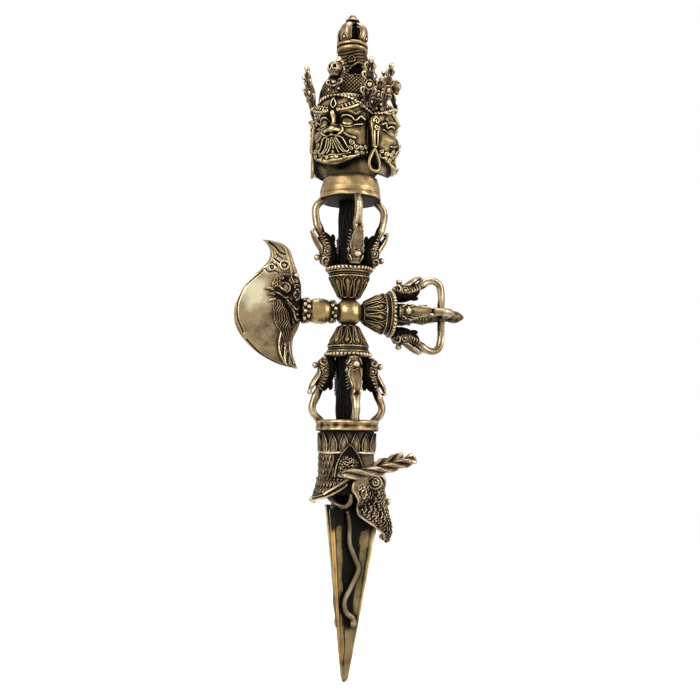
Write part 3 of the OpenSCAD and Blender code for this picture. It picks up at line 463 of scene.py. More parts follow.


# %% [markdown]
# The finishes differ only in how far each casting was rubbed. The faces, the
# axe, the collars and the ball are handled most; the crown and the sea-dragon
# kept their soot between the scales; the cores were never polished at all. The
# front edge of the blade has lost its zinc and shows copper.

# %% The brass finishes
# The darkest colour below is patina and soot, and also painted shade wherever ambient occlusion or a shade
# mask darkens a spot.
SOOT_AND_SHADE = "#0e0805"
rubbed_brass = cast_brass("rubbed_cast_brass", "#d8c9a0", "#8e7852", "#24170d", 0.0, 0.26, 0.5,
                          carved=False)
hammered_brass = cast_brass("hammered_cast_brass", "#cfbd98", "#8c7550", "#20140b", 0.0, 0.28, 0.5)
face_brass = cast_brass("chased_face_brass", "#dbc99c", "#84704c", SOOT_AND_SHADE, -0.04, 0.3, 0.3)
crown_brass = cast_brass("sooted_crown_brass", "#c9b796", "#68553e", SOOT_AND_SHADE, -0.12, 0.34, 0.3)
dragon_brass = cast_brass("scaled_dragon_brass", "#d8c6a4", "#6f5c45", SOOT_AND_SHADE, -0.09, 0.34, 0.3)
relief_brass = cast_brass("chased_relief_brass", "#cbb998", "#6c5940", SOOT_AND_SHADE, -0.12, 0.32, 0.3)
petal_brass = cast_brass("chased_petal_brass", "#d6c394", "#7c6746", SOOT_AND_SHADE, -0.11, 0.3, 0.3)
axe_brass = cast_brass("planished_axe_brass", "#e0d4b2", "#928060", "#33241a", 0.04, 0.26, 0.9)
# The blade's ambient occlusion reaches 12 mm, so that the sea-dragon's jaw paints a broad shade into its
# hollows.
blade_brass = cast_brass("filed_blade_brass", "#e0cea4", "#8d7953", SOOT_AND_SHADE, 0.03, 0.36, 0.5, ao_reach=12.0)
black_brass = cast_brass("sooted_core_brass", "#302a22", "#151210", "#090808", -0.1, 0.5, 0.4)
ball_brass = cast_brass("rubbed_ball_brass", "#dccb98", "#87704a", "#20140a", 0.04, 0.24, 0.9)
copper_brass = cast_brass("dezinced_copper_edge", "#cfa868", "#8a6636", "#24140b", 0.0, 0.34, 0.6)
knot_brass = cast_brass("sooted_topknot_brass", "#a8905f", "#58462f", SOOT_AND_SHADE, -0.1, 0.38, 0.4)
plain_black_brass = cast_brass("sooted_plain_brass", "#40362a", "#1c1815", "#0b0a09", -0.1, 0.5, 0.4,
                               carved=False)
print("finishes", len(bpy.data.materials))


# %% [markdown]
# The four arms of the cross are one design turned four ways: up, down, to the
# right and, with an axe, to the left. So each cup, hoop and prong is made once,
# standing on the plane z = 0, and then set on the ball by a matrix.

# %% Seats of the arms
HUB_Z = sum(v[2] for v in span("hub")) / 2
HUB_HALF = 7.2
CUP_H = 11.0
BAND_H = 2.9
BEAD_H = 2.7
RING = HUB_HALF + CUP_H + BAND_H + BEAD_H
HUB = np.array([0, 0, HUB_Z])
ARMS = {
    "upper": np.eye(3),
    "lower": np.diag([1.0, 1, -1]),
    "arm": np.array([[0, 0, 1.0], [0, 1, 0], [-1, 0, 0]]),
    "axe": np.array([[0, 0, -1.0], [0, 1, 0], [1, 0, 0]]),
}


def on_arm(shape, arm, height=0.0):
    """A shape that stands on z = 0, set at that height over the ball on one of its arms."""
    return moved(moved(shape, offset=(0, 0, height)), ARMS[arm], HUB)


print("ball height", round(HUB_Z, 1), "beads at", RING)

# %% [markdown]
# The ball in the middle was filed round where the four cups leave it free, and
# is flat under the foot of each cup. It could be cut from a ball with four
# saws, but one distance for every direction is shorter: that of the flat seat
# towards a cup, and that of the ball elsewhere.

# %% Ball
BALL_R = 7.4


def ball_skin():
    """Distance r from the middle for every direction: with b the angle to the nearest of the four
    arms, r = HUB_HALF / cos(b) on a cup's seat, up to 27 degrees, and BALL_R from 32 degrees on."""
    h = np.radians(np.linspace(-89, 89, 72))[:, None]
    a = np.linspace(0, 2 * np.pi, 120, endpoint=False)[None, :]
    way = np.stack([np.cos(h) * np.cos(a), np.cos(h) * np.sin(a), np.sin(h) + 0 * a], -1)
    c = np.maximum(np.abs(way[..., 0]), np.abs(way[..., 2]))
    b = np.degrees(np.arccos(c))
    beyond = cut((b - 27) / 5)
    r = HUB_HALF / np.maximum(c, np.cos(np.radians(30))) * (1 - beyond) + BALL_R * beyond
    dents = 0.06 * uneven(way.reshape(-1, 3) * BALL_R, 7, 31).reshape(b.shape) * beyond
    return closed(way * (r + dents)[..., None])


cast("cross_ball", moved(ball_skin(), offset=HUB), ball_brass, "bright_brass", "hub")

# %% [markdown]
# Each cup is a lotus: ten petals stand round a waist, each a long drop with a
# raised rim, and the rims of neighbours meet in an arch at the top. It could be
# built from ten modelled petals, but in the casting they are one skin, so the
# petals are drawn as heights on a turned cup: the distance to a drop-shaped
# outline gives the rim, and the inside swells to a keel.

# %% Lotus cups
WAIST_R = 5.2
PETALS = 10


def petal_relief(angle, z, r):
    """Height of the petals on the cup. u is the place across a petal in its half widths, t the
    height in shares of the cup; the rim follows the edge of a drop, the keel its middle."""
    t = z / CUP_H
    cell = np.pi / PETALS
    u = ((angle + cell) % (2 * cell) - cell) / cell
    arch = 0.92 * np.sqrt(cut(1 - ((t - 0.66) / 0.3) ** 2))
    half = np.where(t > 0.66, arch, 0.42 + 0.5 * cut(t / 0.66) ** 1.3)
    inside = half - np.abs(u)
    width = np.maximum(r * cell, 1)
    rim = ridge((inside - 0.06) * width, 0.36)
    keel = cut(1 - np.abs(u) / (0.66 * half + 0.01)) ** 0.8 * (inside > 0) * cut((0.9 - t) / 0.2)
    between = ridge((1 - np.abs(u)) * width, 0.4) * cut((t - 0.72) / 0.1)
    on_cup = cut((t - 0.02) / 0.06) * cut((0.98 - t) / 0.03)
    gap = cut(-(inside - 0.03) * width / 0.4)
    return on_cup * (0.55 * rim + 1.25 * keel + 0.5 * between - 0.45 - 0.5 * gap)


def lotus_cup():
    """The cup with its neck and band: a turned profile that carries the petals."""
    profile = [(0, 0), (WAIST_R, 0), (6.7, 3), (8.6, 6.4), (10.2, 9.2), (11, 10.4), (11.1, 11.1),
               (10.4, 11.4), (10.7, 12), (10.8, 12.9), (11.4, 13.4), (11.4, 13.8), (0, 13.9)]
    return turned(fine(profile, 0.27)[1:-1], 340, lambda a, z, r: petal_relief(a, z, r) * (r > 3))


cup = lotus_cup()
for arm in ("upper", "lower", "arm"):
    cast(f"{arm}_lotus_cup", on_arm(cup, arm, HUB_HALF), petal_brass, "relief_brass", f"{arm}_lotus")

# %% [markdown]
# Over each cup lies a hoop of beads, cast as one. The beads are balls of a few
# rings each, half sunk in a plain hoop.

# %% Bead hoops
BEADS = 36
BEAD_RING_R = 11.7


def bead_hoop(r, height, count, size):
    """A plain turned hoop with a row of balls on its outside."""
    hoop = turned(fine([(0.01, 0), (r - 0.7, 0), (r - 0.1, 0.4), (r, height / 2), (r - 0.1, height - 0.4),
                        (r - 0.7, height), (0.01, height)], 0.6), 96,
                  lambda a, z, rr: 0.12 * np.sin(7 * a + z))
    turns = np.arange(count) * 2 * np.pi / count
    row = [ball((r * np.cos(a), r * np.sin(a), height / 2), size) for a in turns]
    return together([hoop] + row)


hoop = bead_hoop(BEAD_RING_R, BEAD_H, BEADS, 1.05)
for arm in ("upper", "lower", "arm"):
    cast(f"{arm}_bead_hoop", on_arm(hoop, arm, RING - BEAD_H), relief_brass, "relief_brass", f"{arm}_beads")

# %% [markdown]
# Every prong grows out of the mouth of a small sea-dragon. The head is a thick
# root that flares upwards, with a boss on its brow, scrolled eyes on its sides,
# a lip that curls out to a ball, and curls of mane. The prong bends out of the
# mouth, then in again. All of it is swept ovals, as the wax was rolled and bent,
# with the scrolls laid on as thin wires.

# %% One prong with its sea-dragon's head
PRONG_R = 18.6
PRONG_T = 3.6
CAGE_H = 32.4
UPPER_CAGE_H = 35.0
ARM_CAGE_H = 27.5
POINT_R = 3.2


def wire(points, size, count=24, steps=8, taper=0.35, side=(0.3, 1, 0.2)):
    """A thin rolled wire through the points, thickest in its middle and tapering to its ends."""
    path = curve(points, count)
    swell = size * (taper + (1 - taper) * np.sin(np.pi * np.linspace(0, 1, count)) ** 0.5)
    return swept(path, swell, swell, side, steps)


def scroll(centre, size, turns, start, hand, wire_size, y):
    """A flat spiral of wire round a centre in the plane y, which ends in a small ball."""
    line = curl(centre[0], centre[1], size, turns, start, hand, 30)
    path = np.c_[line[:, 0], np.full(len(line), y), line[:, 1]]
    body = swept(path, wire_size, wire_size * 1.2, (0, 1, 0), 8)
    return together([body, ball(path[-1], wire_size * 1.5, 10, 5)])


ROOT = [(10.8, 0.1), (10.8, 2.4), (11.3, 6.4), (12.1, 10.2), (13.2, 13.6), (14.8, 16.6)]
ROOT_GIRTH = [(3.4, 2.9), (4.2, 3.6), (4.7, 3.8), (4.5, 3.5), (3.9, 3), (2.7, 2.2)]
LIP = [(14.4, 8), (16.8, 11.4), (18.6, 14.2), (19.7, 16.2), (20.1, 18)]
LIP_GIRTH = [(3, 1.7), (2.7, 1.6), (2.3, 1.4), (1.9, 1.1), (1.0, 0.7)]


def hide(s, u):
    """Folds and scales of the head's root, with a welt round its lower third."""
    folds = 0.24 * np.sin(26 * np.pi * s + 2 * np.cos(2 * u)) * np.sin(7 * u) * (s > 0.3)
    return folds + 0.35 * hump(s - 0.2, 0.03)


CHEEK_Y = 3.7
SIDE_WIRES = [    # knots (x, share of CHEEK_Y, z), size and taper of the wires on a side of the head
    ([(19.2, 0.4, 16.4), (20.3, 0.42, 17.6), (20.6, 0.45, 18.6), (19.7, 0.46, 19), (19.2, 0.45, 18.2)], 0.6,
     0.6),
    ([(15.4, 0.55, 5.8), (15.4, 0.85, 8.6), (16.2, 0.8, 10.8), (17.8, 0.66, 12)], 0.55, 0.35),
    ([(14.2, 0.6, 1), (15.2, 0.75, 2.6), (14.4, 0.95, 4), (12.8, 1, 4.2), (11.8, 1, 3), (12.5, 1, 2.1)],
     0.5, 0.35),
    ([(9.4, 0.85, 1.4), (9.0, 1, 3.8), (9.3, 1.04, 6.2), (8.4, 1, 8.4), (7.6, 0.8, 9.4)], 0.65, 0.35),
    ([(14.6, 0.85, 9.4), (16.9, 0.74, 12), (18.6, 0.6, 14.6), (19.8, 0.42, 16.8)], 0.5, 0.35),
]


def dragon_head(k):
    """The sea-dragon's head on z = 0, with its heights times k. x points away from the arm's axis."""
    root, girth = curve([(x, 0, z * k) for x, z in ROOT], 66), curve(ROOT_GIRTH, 66)
    parts = [swept(root, girth[:, 0], girth[:, 1], (0, 1, 0), 36, relief=hide)]
    lip, girth = curve([(x, 0, z * k) for x, z in LIP], 50), curve(LIP_GIRTH, 50)
    parts.append(swept(lip, girth[:, 1], girth[:, 0], (0, 1, 0), 24,
                       relief=lambda s, u: 0.2 * np.sin(30 * np.pi * s) * cut(np.cos(u) + 0.5)))
    parts.append(wire([(10, 0, 9 * k), (9.4, 0, 12 * k), (9, 0, 15 * k), (9.3, 0, 17.2 * k)], 1.3, 24, 12))
    parts.append(swept(curve([(14.6, 0, 4.2 * k), (17.0, 0, 4.4 * k)], 5), 1.15, 1.15, (0, 1, 0), 14))
    parts.append(ball((17.4, 0, 4.4 * k), 1.7, 18, 10))
    for y in (-CHEEK_Y, CHEEK_Y):
        parts.append(scroll((12.6, 7.4 * k), 2.1, 1.6, 200, 1, 0.38, y))
        parts.append(ball((12.6, y, 7.4 * k), 0.9, 12, 6))
        for knots, size, taper in SIDE_WIRES:
            parts.append(wire([(x, y * share, z * k) for x, share, z in knots], size, taper=taper))
        for i in range(5):
            z = (9.2 + 1.7 * i) * k
            parts.append(wire([(10.6 + 0.5 * i, y * 0.92, z), (12 + 0.55 * i, y * 0.98, z + 1),
                               (13.4 + 0.6 * i, y * 0.78, z + 0.2)], 0.45, 12))
    return parts


def prong(stem_knots, k):
    """A dragon's head with the prong that bends out of its mouth, thick where it leaves it."""
    stem = curve(stem_knots, 84)
    s = np.linspace(0, 1, 84)
    swell = np.minimum(1, 0.6 + s * 2.4) * (1 + 0.4 * cut(1 - 3 * s))
    body = swept(stem, PRONG_T / 2 * swell, PRONG_T * 0.6 * swell, (0, 1, 0), 22,
                 relief=lambda t, u: 0.16 * np.cos(2 * u) + 0.08 * np.sin(5 * u + 9 * t))
    return together([body] + dragon_head(k))


def cage_stem(h):
    """The path of a prong that stands in a cage of height h."""
    return [(13.2, 0, 13), (16.4, 0, 19.6), (PRONG_R - 0.8, 0, 23), (PRONG_R + 0.1, 0, h - 6),
            (PRONG_R - 0.7, 0, h - 3), (16.2, 0, h - 1), (14.6, 0, h + 0.4), (13.8, 0, h + 1.6)]


arm_stem = [(13, 0, 10.6), (16.4, 0, 16), (PRONG_R - 0.2, 0, ARM_CAGE_H - 8.2),
            (PRONG_R + 0.4, 0, ARM_CAGE_H - 4.4), (PRONG_R - 2, 0, ARM_CAGE_H - 1), (11, 0, ARM_CAGE_H),
            (6, 0, ARM_CAGE_H), (POINT_R - 1, 0, ARM_CAGE_H)]


def shade_inside_cage(arm, top):
    """Painted shade on the side of the prongs that faces the middle of a cage of height top."""
    def shade_and_soot(points):
        p = (points - HUB) @ ARMS[arm]
        limit = np.interp(p[:, 2] - RING, [0, 6, 9, 18, top - 4, top], [13, 12.2, 11.6, 16.3, 16.3, 0])
        return 0.6 * cut((limit - from_axis(p)) / 1.2)
    return shade_and_soot


cages = (("upper", prong(cage_stem(UPPER_CAGE_H), 1.0), UPPER_CAGE_H),
         ("lower", prong(cage_stem(CAGE_H), 1.0), CAGE_H), ("arm", prong(arm_stem, 13.4 / 16), ARM_CAGE_H))
for arm, model, top in cages:
    for i in range(4):
        cast(f"{arm}_dragon_prong_{i + 1}", on_arm(moved(model, about_z(90 * i)), arm, RING), relief_brass,
             "relief_brass", f"{arm}_prong_{i + 1}", shade_and_soot=shade_inside_cage(arm, top))

# %% [markdown]
# Inside each cage stands a core that no cloth reaches. It is rough, black, and
# folded lengthwise like hanging cloth; the arm's core runs out to a bud.

# %% Cores
def folded(a, z, r):
    """Lengthwise folds of a core: a few waves round it that drift a little with the height."""
    waves = 0.45 * np.sin(5 * a + 0.12 * z) + 0.3 * np.sin(11 * a - 0.2 * z + 1) + 0.15 * np.sin(23 * a)
    return (r > 3) * (waves - 0.3)


for arm, height in (("upper", UPPER_CAGE_H), ("lower", CAGE_H)):
    profile = [(2.4, 0), (6, 0), (6.3, 2), (5.9, height * 0.3), (6.3, height * 0.6), (6, height),
               (2.4, height)]
    core = turned(fine(profile, 1.0), 120, folded)
    cast(f"{arm}_folded_core", on_arm(core, arm, RING), black_brass, "dark_brass", f"{arm}_core")

TIP_Z = ARM_CAGE_H + 13


def bud_relief(a, z, r):
    """The arm's core: folds at its root, a scroll box, a square neck and four facets on the bud."""
    root = 0.3 * np.sin(6 * a) * cut((10 - z) / 4) * (r > 3)
    box = 0.5 * np.cos(4 * a) * hump(z - 17, 4)
    facets = 0.34 * np.cos(4 * a) * hump(z - ARM_CAGE_H - 7, 3.5)
    return root + box + facets


bud = turned(fine([(2.4, 0), (5.6, 0), (5.7, 6), (4.2, 12), (4.6, 17), (3.4, 21), (3.2, ARM_CAGE_H - 2),
                   (3.6, ARM_CAGE_H - 1), (3.6, ARM_CAGE_H + 1), (2.9, ARM_CAGE_H + 2),
                   (2.5, ARM_CAGE_H + 3.4), (2.7, ARM_CAGE_H + 4.4), (3.15, ARM_CAGE_H + 6.6),
                   (2.7, ARM_CAGE_H + 9.6), (1.4, TIP_Z - 1), (0.3, TIP_Z)], 0.45), 72, bud_relief)
cast("arm_bud_core", on_arm(bud, "arm", RING), relief_brass, "relief_brass", "arm_core")


# %% [markdown]
# The head was cast hollow with three faces round it, and stands turned seven
# degrees against the arms, as it was soldered. Each face is an oval; its
# features are heights over that oval, drawn from lines on half a face and
# mirrored. A founder does the same with rolls of wax laid on the bare oval.

# %% The faces' oval
HEAD_TURN = -7
BLADE_TURN = -8
CHIN_Z = span("head")[0][2]
HEAD_H = 37.0
FACE_R = 23.0
LOBE_OFF = 9.0
FACE_HALF = 14.2
WALL_R = 13.4
JAW_RISE = 7.0
FACES = (0, 120, 240)


def lobe(a):
    """Distance from the axis to an oval that is set off the axis, at angle a from its middle."""
    p, q = FACE_R - LOBE_OFF, FACE_HALF
    m = (np.cos(a) / p) ** 2 + (np.sin(a) / q) ** 2
    k = LOBE_OFF * np.cos(a) / p**2
    return (k + np.sqrt(k * k + m * (1 - (LOBE_OFF / p) ** 2))) / m


def way_round(a):
    """Length of the oval from the face's middle to the angles a, which rise in even steps."""
    x, y = lobe(a) * np.cos(a), lobe(a) * np.sin(a)
    s = np.r_[0, np.cumsum(np.hypot(np.diff(x), np.diff(y)))]
    return s - np.interp(0, a, s)


def band_height(a):
    """Height of the crown's band over the chin: it dips towards the ears."""
    return HEAD_H - 1.4 - 6.5 * (1 - np.cos(3 * a)) / 2


print("chin height", round(CHIN_Z, 1))

# %% [markdown]
# The wrathful face has a brow like a cloud, bulging eyes in deep sockets under
# a wavy lid, an upright third eye, a broad nose with flared nostrils, and a
# moustache that parts in strands over a band of chin, with curls of beard
# along the jaw.

# %% Face relief
LID = [(2.8, 22.6), (4.4, 24.4), (7.0, 25.0), (9.4, 24.5), (11.2, 23.2), (12.8, 23.8), (14.6, 25.2),
       (17.2, 24)]
BROW = [(2.4, 26.6), (5, 27.3), (9, 28.4), (12.6, 30.4), (14.4, 32.6)]
LINES = [
    (LID, 0.6, 1.5),
    ([(3.0, 26.0), (6, 27), (9, 26.7), (11.6, 26.2), (14, 27.6)], 0.6, 0.45),
    ([(3.2, 20.7), (5.6, 19.2), (8.6, 19.1), (11.4, 20.9), (15.6, 21.6)], 0.5, 1.0),
    ([(5.4, 15.6), (8.2, 13.8), (11.4, 13.2)], 0.6, 0.5),
    ([(0, 20.5), (2.6, 20.3), (4.6, 18.8), (5.4, 16.8), (4.4, 14.9), (2.4, 14.2), (0, 14.4)], 0.55, 1.0),
    ([(1.9, 13.6), (4.8, 12.9), (6.6, 10), (8.2, 7), (7.2, 5.8), (5.6, 7), (3.6, 10.2), (2, 12.8)], 0.45,
     1.5),
    ([(1.3, 12.6), (2.4, 10), (4.2, 7.2), (5.8, 5.6)], 0.42, 1.2),
    ([(0.6, 12), (1.3, 9.4), (2.3, 7.2), (3.2, 5.6)], 0.4, 1.2),
    ([(0, 13), (0.05, 8)], 0.4, 1.0),
    ([(0, 29), (1.3, 30.6), (1, 32.4), (0, 34.4)], 0.4, 0.7),
    (BROW, 0.55, 0.9),
    ([(3, 29.6), (6.4, 30.2), (10, 31.6), (12, 33.6)], 0.4, 0.35),
    ([(0, 1.7), (4, 1.9), (8.4, 3.4), (12, 4.4)], 0.5, 0.8),
    ([(0, 4.7), (3, 4.2), (6, 4.8), (9, 5.6)], 0.45, 0.8),
    ([(20.4, 11), (20, 18), (20.6, 26), (19.2, 30)], 0.5, 0.6),
]
CURLS = [(0, 6.3, 0.95), (14.7, 31.2, 1.7), (3.3, 27.4, 1.1), (9.8, 10.8, 1.5), (9.4, 7.8, 1.2),
         (12.2, 8.6, 1.4), (15, 8.6, 1.3), (12.6, 5.8, 1.3), (17.8, 9.6, 1.2), (15.6, 6.2, 1.2),
         (19.6, 7, 1.2), (6.4, 3.1, 0.9), (2.6, 3.1, 0.8)]
TICKS = [(5.4, 28.2), (7, 28.9), (8.6, 29.6), (10.2, 30.4), (11.8, 31.3)]
SWELLS = [    # place, half width, half height and rise of the soft forms on half a face
    (6.4, 31.4, 5, 3.4, 1.1),     # forehead
    (8, 22.6, 6.4, 3, -2.8),      # socket of the eye
    (2.4, 22.5, 1.5, 4, -2.2),    # its inner corner
    (10.4, 16.4, 5.4, 3, 2.6),    # cheek
    (0, 12.4, 7, 2.6, 1.4),       # upper lip
    (0, 8.6, 8, 2.8, -0.9),       # mouth
    (0, 17.3, 4.4, 2.9, 4.2),     # nose
    (3.6, 16.2, 1.6, 1.5, 1.2),   # its wing
    (1.9, 15.1, 1.1, 0.75, -2.2),  # nostril
    (0, 3.1, 9, 1.9, 2.1),        # chin
    (12, 9, 6.5, 4, 0.9),         # jaw
]
EGGS = [(7, 21.9, 3.4, 2.4, 3), (0, 24.3, 1.5, 3.7, 2.4)]    # eye and third eye, with a clear edge


def face_relief(w, h):
    """Height of a face over its oval, in millimetres. w is the way round from its middle and
    h the height over the chin: broad forms first, then the carved lines, curls and ticks."""
    v = np.abs(w)
    rise = 2.1 * hump(near(v, h, curve(BROW, 12)), 2.3)
    for x, y, wide, tall, high in SWELLS:
        rise += high * np.exp(-((v - x) / wide) ** 2 - ((h - y) / tall) ** 2)
    for x, y, wide, tall, high in EGGS:
        rise += high * np.sqrt(cut(1 - ((v - x) / wide) ** 2 - ((h - y) / tall) ** 2))
    rise -= 2.6 * hump(h + 1, 3) + 1.4 * hump(v - 22.9, 2.5) * (h < 30)
    rise += carved(v, h, LINES, 4)
    for x, y, size in CURLS:
        rise += drawn(v, h, curl(x, y, size, 1.4, 120, 1, 22), 0.36)
        rise += 0.3 * hump(np.hypot(v - x, h - y), size)
    for x, y in TICKS:
        rise += 0.6 * drawn(v, h, [(x, y), (x - 0.9, y + 1.7)], 0.4)
    return rise


def hair_lines(w, h):
    """Criss-crossed locks: two sets of slanting ridges."""
    return 0.3 * (np.abs(np.sin(1.7 * (w + 0.9 * h))) + np.abs(np.sin(1.7 * (w - 0.9 * h)))) - 0.3


def rows_over_jaw(a, count):
    """Heights of the rows at each angle: the lowest follows the jaw, which rises to the ears."""
    jaw = JAW_RISE * (1 - np.cos(3 * a)) / 2
    return jaw + (HEAD_H - jaw) * np.linspace(0, 1, count)[:, None]


def face_piece(relief, seed):
    """A third of the head: the carved outside over -60 to 60 degrees and the plain wall inside."""
    a = np.radians(np.linspace(-60, 60, relief.shape[1]))
    h = rows_over_jaw(a[None, :], relief.shape[0])
    r = lobe(a)[None, :] + relief
    outside = round_axis(r, a, h)
    outside[..., :2] *= 1 + 0.004 * uneven(outside.reshape(-1, 3), 6.0, seed).reshape(r.shape)[..., None]
    return shell(outside, round_axis(WALL_R, a[None, 8::12], h[:, 8::12]))


a = np.radians(np.linspace(-60, 60, 261))[None, :]
h = rows_over_jaw(a, 190)
w = way_round(a[0])[None, :]
over_band = cut((h - band_height(a) - 0.3) / 0.6)
relief = face_relief(w, h) * (1 - over_band) + (hair_lines(w, h) - 0.9) * over_band


def shade_under_chin(points):
    """Painted shade inside the head and along the faces' lower edges, where the chin overhangs."""
    turn = np.radians(bearing(points) - HEAD_TURN)
    over_jaw = points[:, 2] - CHIN_Z - JAW_RISE * (1 - np.cos(3 * turn)) / 2
    return 0.9 * (from_axis(points) < WALL_R + 2.4) + 0.8 * cut(1 - over_jaw / 0.7)


for i, face in enumerate(FACES):
    cast(f"head_face_{i + 1}", moved(face_piece(relief, i), about_z(face + HEAD_TURN), (0, 0, CHIN_Z)),
         face_brass, "face_brass", "head", shade_and_soot=shade_under_chin)

# %% [markdown]
# Flat ears stand between the faces, each with a double scroll above and a long
# slit lobe below. An ear and a crown leaf are both plates: an outline, a
# carved front and a plain back, joined at a thin edge.


# %% Plates, ears and earrings
def plate(levels, halves, front, back, columns=40):
    """A standing plate. levels are its heights and halves the half widths there; front(y, z) and
    back are the distances of its two sides along x."""
    z = np.asarray(levels, float)[:, None]
    s = np.sin(np.linspace(-np.pi / 2, np.pi / 2, columns))[None, :]
    y = s * np.asarray(halves, float)[:, None]
    edge = 0.25 + 0.75 * np.sqrt(cut(1 - s**6))
    return shell(*(np.stack([x * edge + 0 * y, y, z + 0 * y], -1) for x in (front(y, z), back)))


def on_head(shape, angle, out, height, grow=1.0):
    """A shape set on the head: turned by an angle from the first face, out from the axis, at a height."""
    about = about_z(angle + HEAD_TURN)
    return moved(shape, about * grow, about @ (out, 0, 0) + (0, 0, height))


EAR_IN = float(lobe(np.radians(48)) * np.cos(np.radians(12)) + 0.25)
EAR_LOW = 10.3


def ear_front(y, z):
    """Two scrolls over each other, then two upright welts with a slit between them."""
    rise = 2.5 + 0.75 * drawn(y, z, curl(0.2, 13.9, 2.0, 1.3, 200, -1, 26), 0.42)
    rise += 0.75 * drawn(y, z, curl(0.1, 10.6, 1.6, 1.2, 20, -1, 24), 0.4)
    for side in (-1, 1):
        rise += 0.8 * drawn(y, z, [(0.95 * side, 1.2), (1.15 * side, 8.6)], 0.4)
        rise += 0.6 * drawn(y, z, [(1.6 * side, 0.8), (2.3 * side, 8), (2.9 * side, 12.4)], 0.45)
    return rise - 0.9 * drawn(y, z, [(0, 2), (0, 8.2)], 0.5)


levels = np.linspace(0, 16.5, 92)
halves = np.interp(levels, [0, 0.5, 3, 8, 11, 13.3, 15.2, 16.1, 16.5],
                   [0.9, 1.7, 2.0, 2.5, 3.0, 3.2, 2.6, 1.6, 0.7])
ear = plate(levels, halves, ear_front, -0.3, 50)
cast("long_ears", together([on_head(ear, 60 + face, EAR_IN + 0.3, CHIN_Z + EAR_LOW) for face in FACES]),
     face_brass, "face_brass", "ears")


def loop(points, size, steps=14):
    """A round wire along a closed path of points."""
    t = unit(np.roll(points, -1, 0) - np.roll(points, 1, 0))
    a = unit(np.cross(t, (1.0, 0, 0.02)))
    b = np.cross(a, t)
    u = np.linspace(0, 2 * np.pi, steps, endpoint=False)[None, :, None]
    size = np.broadcast_to(size, len(points))[:, None, None]
    return closed(points[:, None] + size * (np.cos(u) * a[:, None] + np.sin(u) * b[:, None]), loop=True)


half_ring = curve([(0, 12.6), (-1.5, 10.2), (-3.1, 6.6), (-3.45, 3.9), (-2.4, 1.5), (0, 0.85)], 40)
ring = np.vstack([half_ring, half_ring[-2:0:-1] * (-1, 1)])
path = np.c_[1.0 - 0.1 * ring[:, 1] + 0.0065 * ring[:, 1] ** 2, ring]
wire_r = 0.78 + 0.1 * np.sin(np.linspace(0, 14, len(path))) * hump(path[:, 2] - 5, 4)
for i, face in enumerate(FACES):
    low = span(f"earring_{i + 1}")[0][2]
    cast(f"teardrop_earring_{i + 1}", on_head(loop(path, wire_r), 60 + face, EAR_IN + 1.2, low),
         rubbed_brass, "bright_brass", f"earring_{i + 1}")

# %% [markdown]
# The crown is a string of beads that dips behind each ear, with jewelled
# leaves standing on it and a small skull over every face, as every wrathful
# deity wears.

# %% Crown band
CROWN_BEADS = 81
CROWN_BEAD_R = 0.86
CORD_R = 0.42
at = np.radians(np.linspace(-60, 60, 37)[:-1])
band = np.vstack([round_axis(lobe(at) + 1.0, at + np.radians(f), band_height(at)) for f in FACES])
whole = np.vstack([band, band[:1]])
gaps = np.r_[0, np.cumsum(np.linalg.norm(np.diff(whole, axis=0), axis=1))]
even = np.linspace(0, gaps[-1], CROWN_BEADS + 1)[:-1]
beads = np.stack([np.interp(even, gaps, side) for side in whole.T], 1)
crown_band = together([loop(band, CORD_R, 10)] + [ball(b, CROWN_BEAD_R, 10, 5) for b in beads])
cast("crown_bead_string", moved(crown_band, about_z(HEAD_TURN), (0, 0, CHIN_Z)), crown_brass, "crown_brass",
     "crown_band")

# %% [markdown]
# A leaf is a narrow plate that flares, pinches and ends in a bud. A ring with a
# jewel sits where it is widest; curls of wire stand off its edges.

# %% Crown leaves
def crown_leaf(height, width, lean, ring_at, turn):
    """A jewelled leaf that stands on z = 0 and leans outwards by lean at its tip."""
    z = np.linspace(0, height * 0.985, 54)
    share = z / height
    half = width / 2 * np.interp(share, [0, 0.1, 0.26, 0.4, 0.48, 0.6, 0.7, 0.8, 0.9, 1],
                                 [0.5, 0.42, 0.72, 1.0, 0.96, 0.62, 0.7, 0.5, 0.36, 0.1])
    jewel_z = ring_at * height
    size = width * 0.26

    def front(y, zz):
        rise = 0.55 + 0.55 * ridge(np.hypot(y, zz - jewel_z) - size, 0.42)
        rise += 0.35 * ridge(np.abs(y) - 0.72 * np.interp(zz, z, half), 0.32)
        return rise + 0.3 * cut(np.sin(9 * share[:, None] * np.pi)) * ridge(y, 0.5)

    parts = [plate(z, half, front, -0.45, 24), ball((0.8, 0, jewel_z), size * 0.62, 14, 8)]
    for side in (-1, 1):
        for low, reach in ((0.2, 0.42), (0.5, 0.4), (0.68, 0.3)):
            y = side * width * reach
            bend = [(0.2, y * 0.3, height * low), (0.5, y, height * (low + 0.07)),
                    (0.7, y * 1.12, height * (low + 0.13)), (0.8, y * 0.8, height * (low + 0.16)),
                    (0.6, y * 0.55, height * (low + 0.12))]
            parts.append(wire(bend, 0.52, 18, 8, 0.5))
        parts.append(ball((0.5, side * width * 0.3, height * 0.1), 0.75, 10, 5))
    parts.append(wire([(0, 0, height * 0.84), (0.2, 0.15, height * 0.92), (0, 0, height * 0.99)],
                      width * 0.17, 14, 10))
    points, quads, tris = together(parts)
    along = cut(points[:, 2] / height)
    bent = points + np.c_[lean * along, 0.25 * np.sin(points[:, 2] * 0.5 + turn), 0 * along]
    return bent, quads, tris


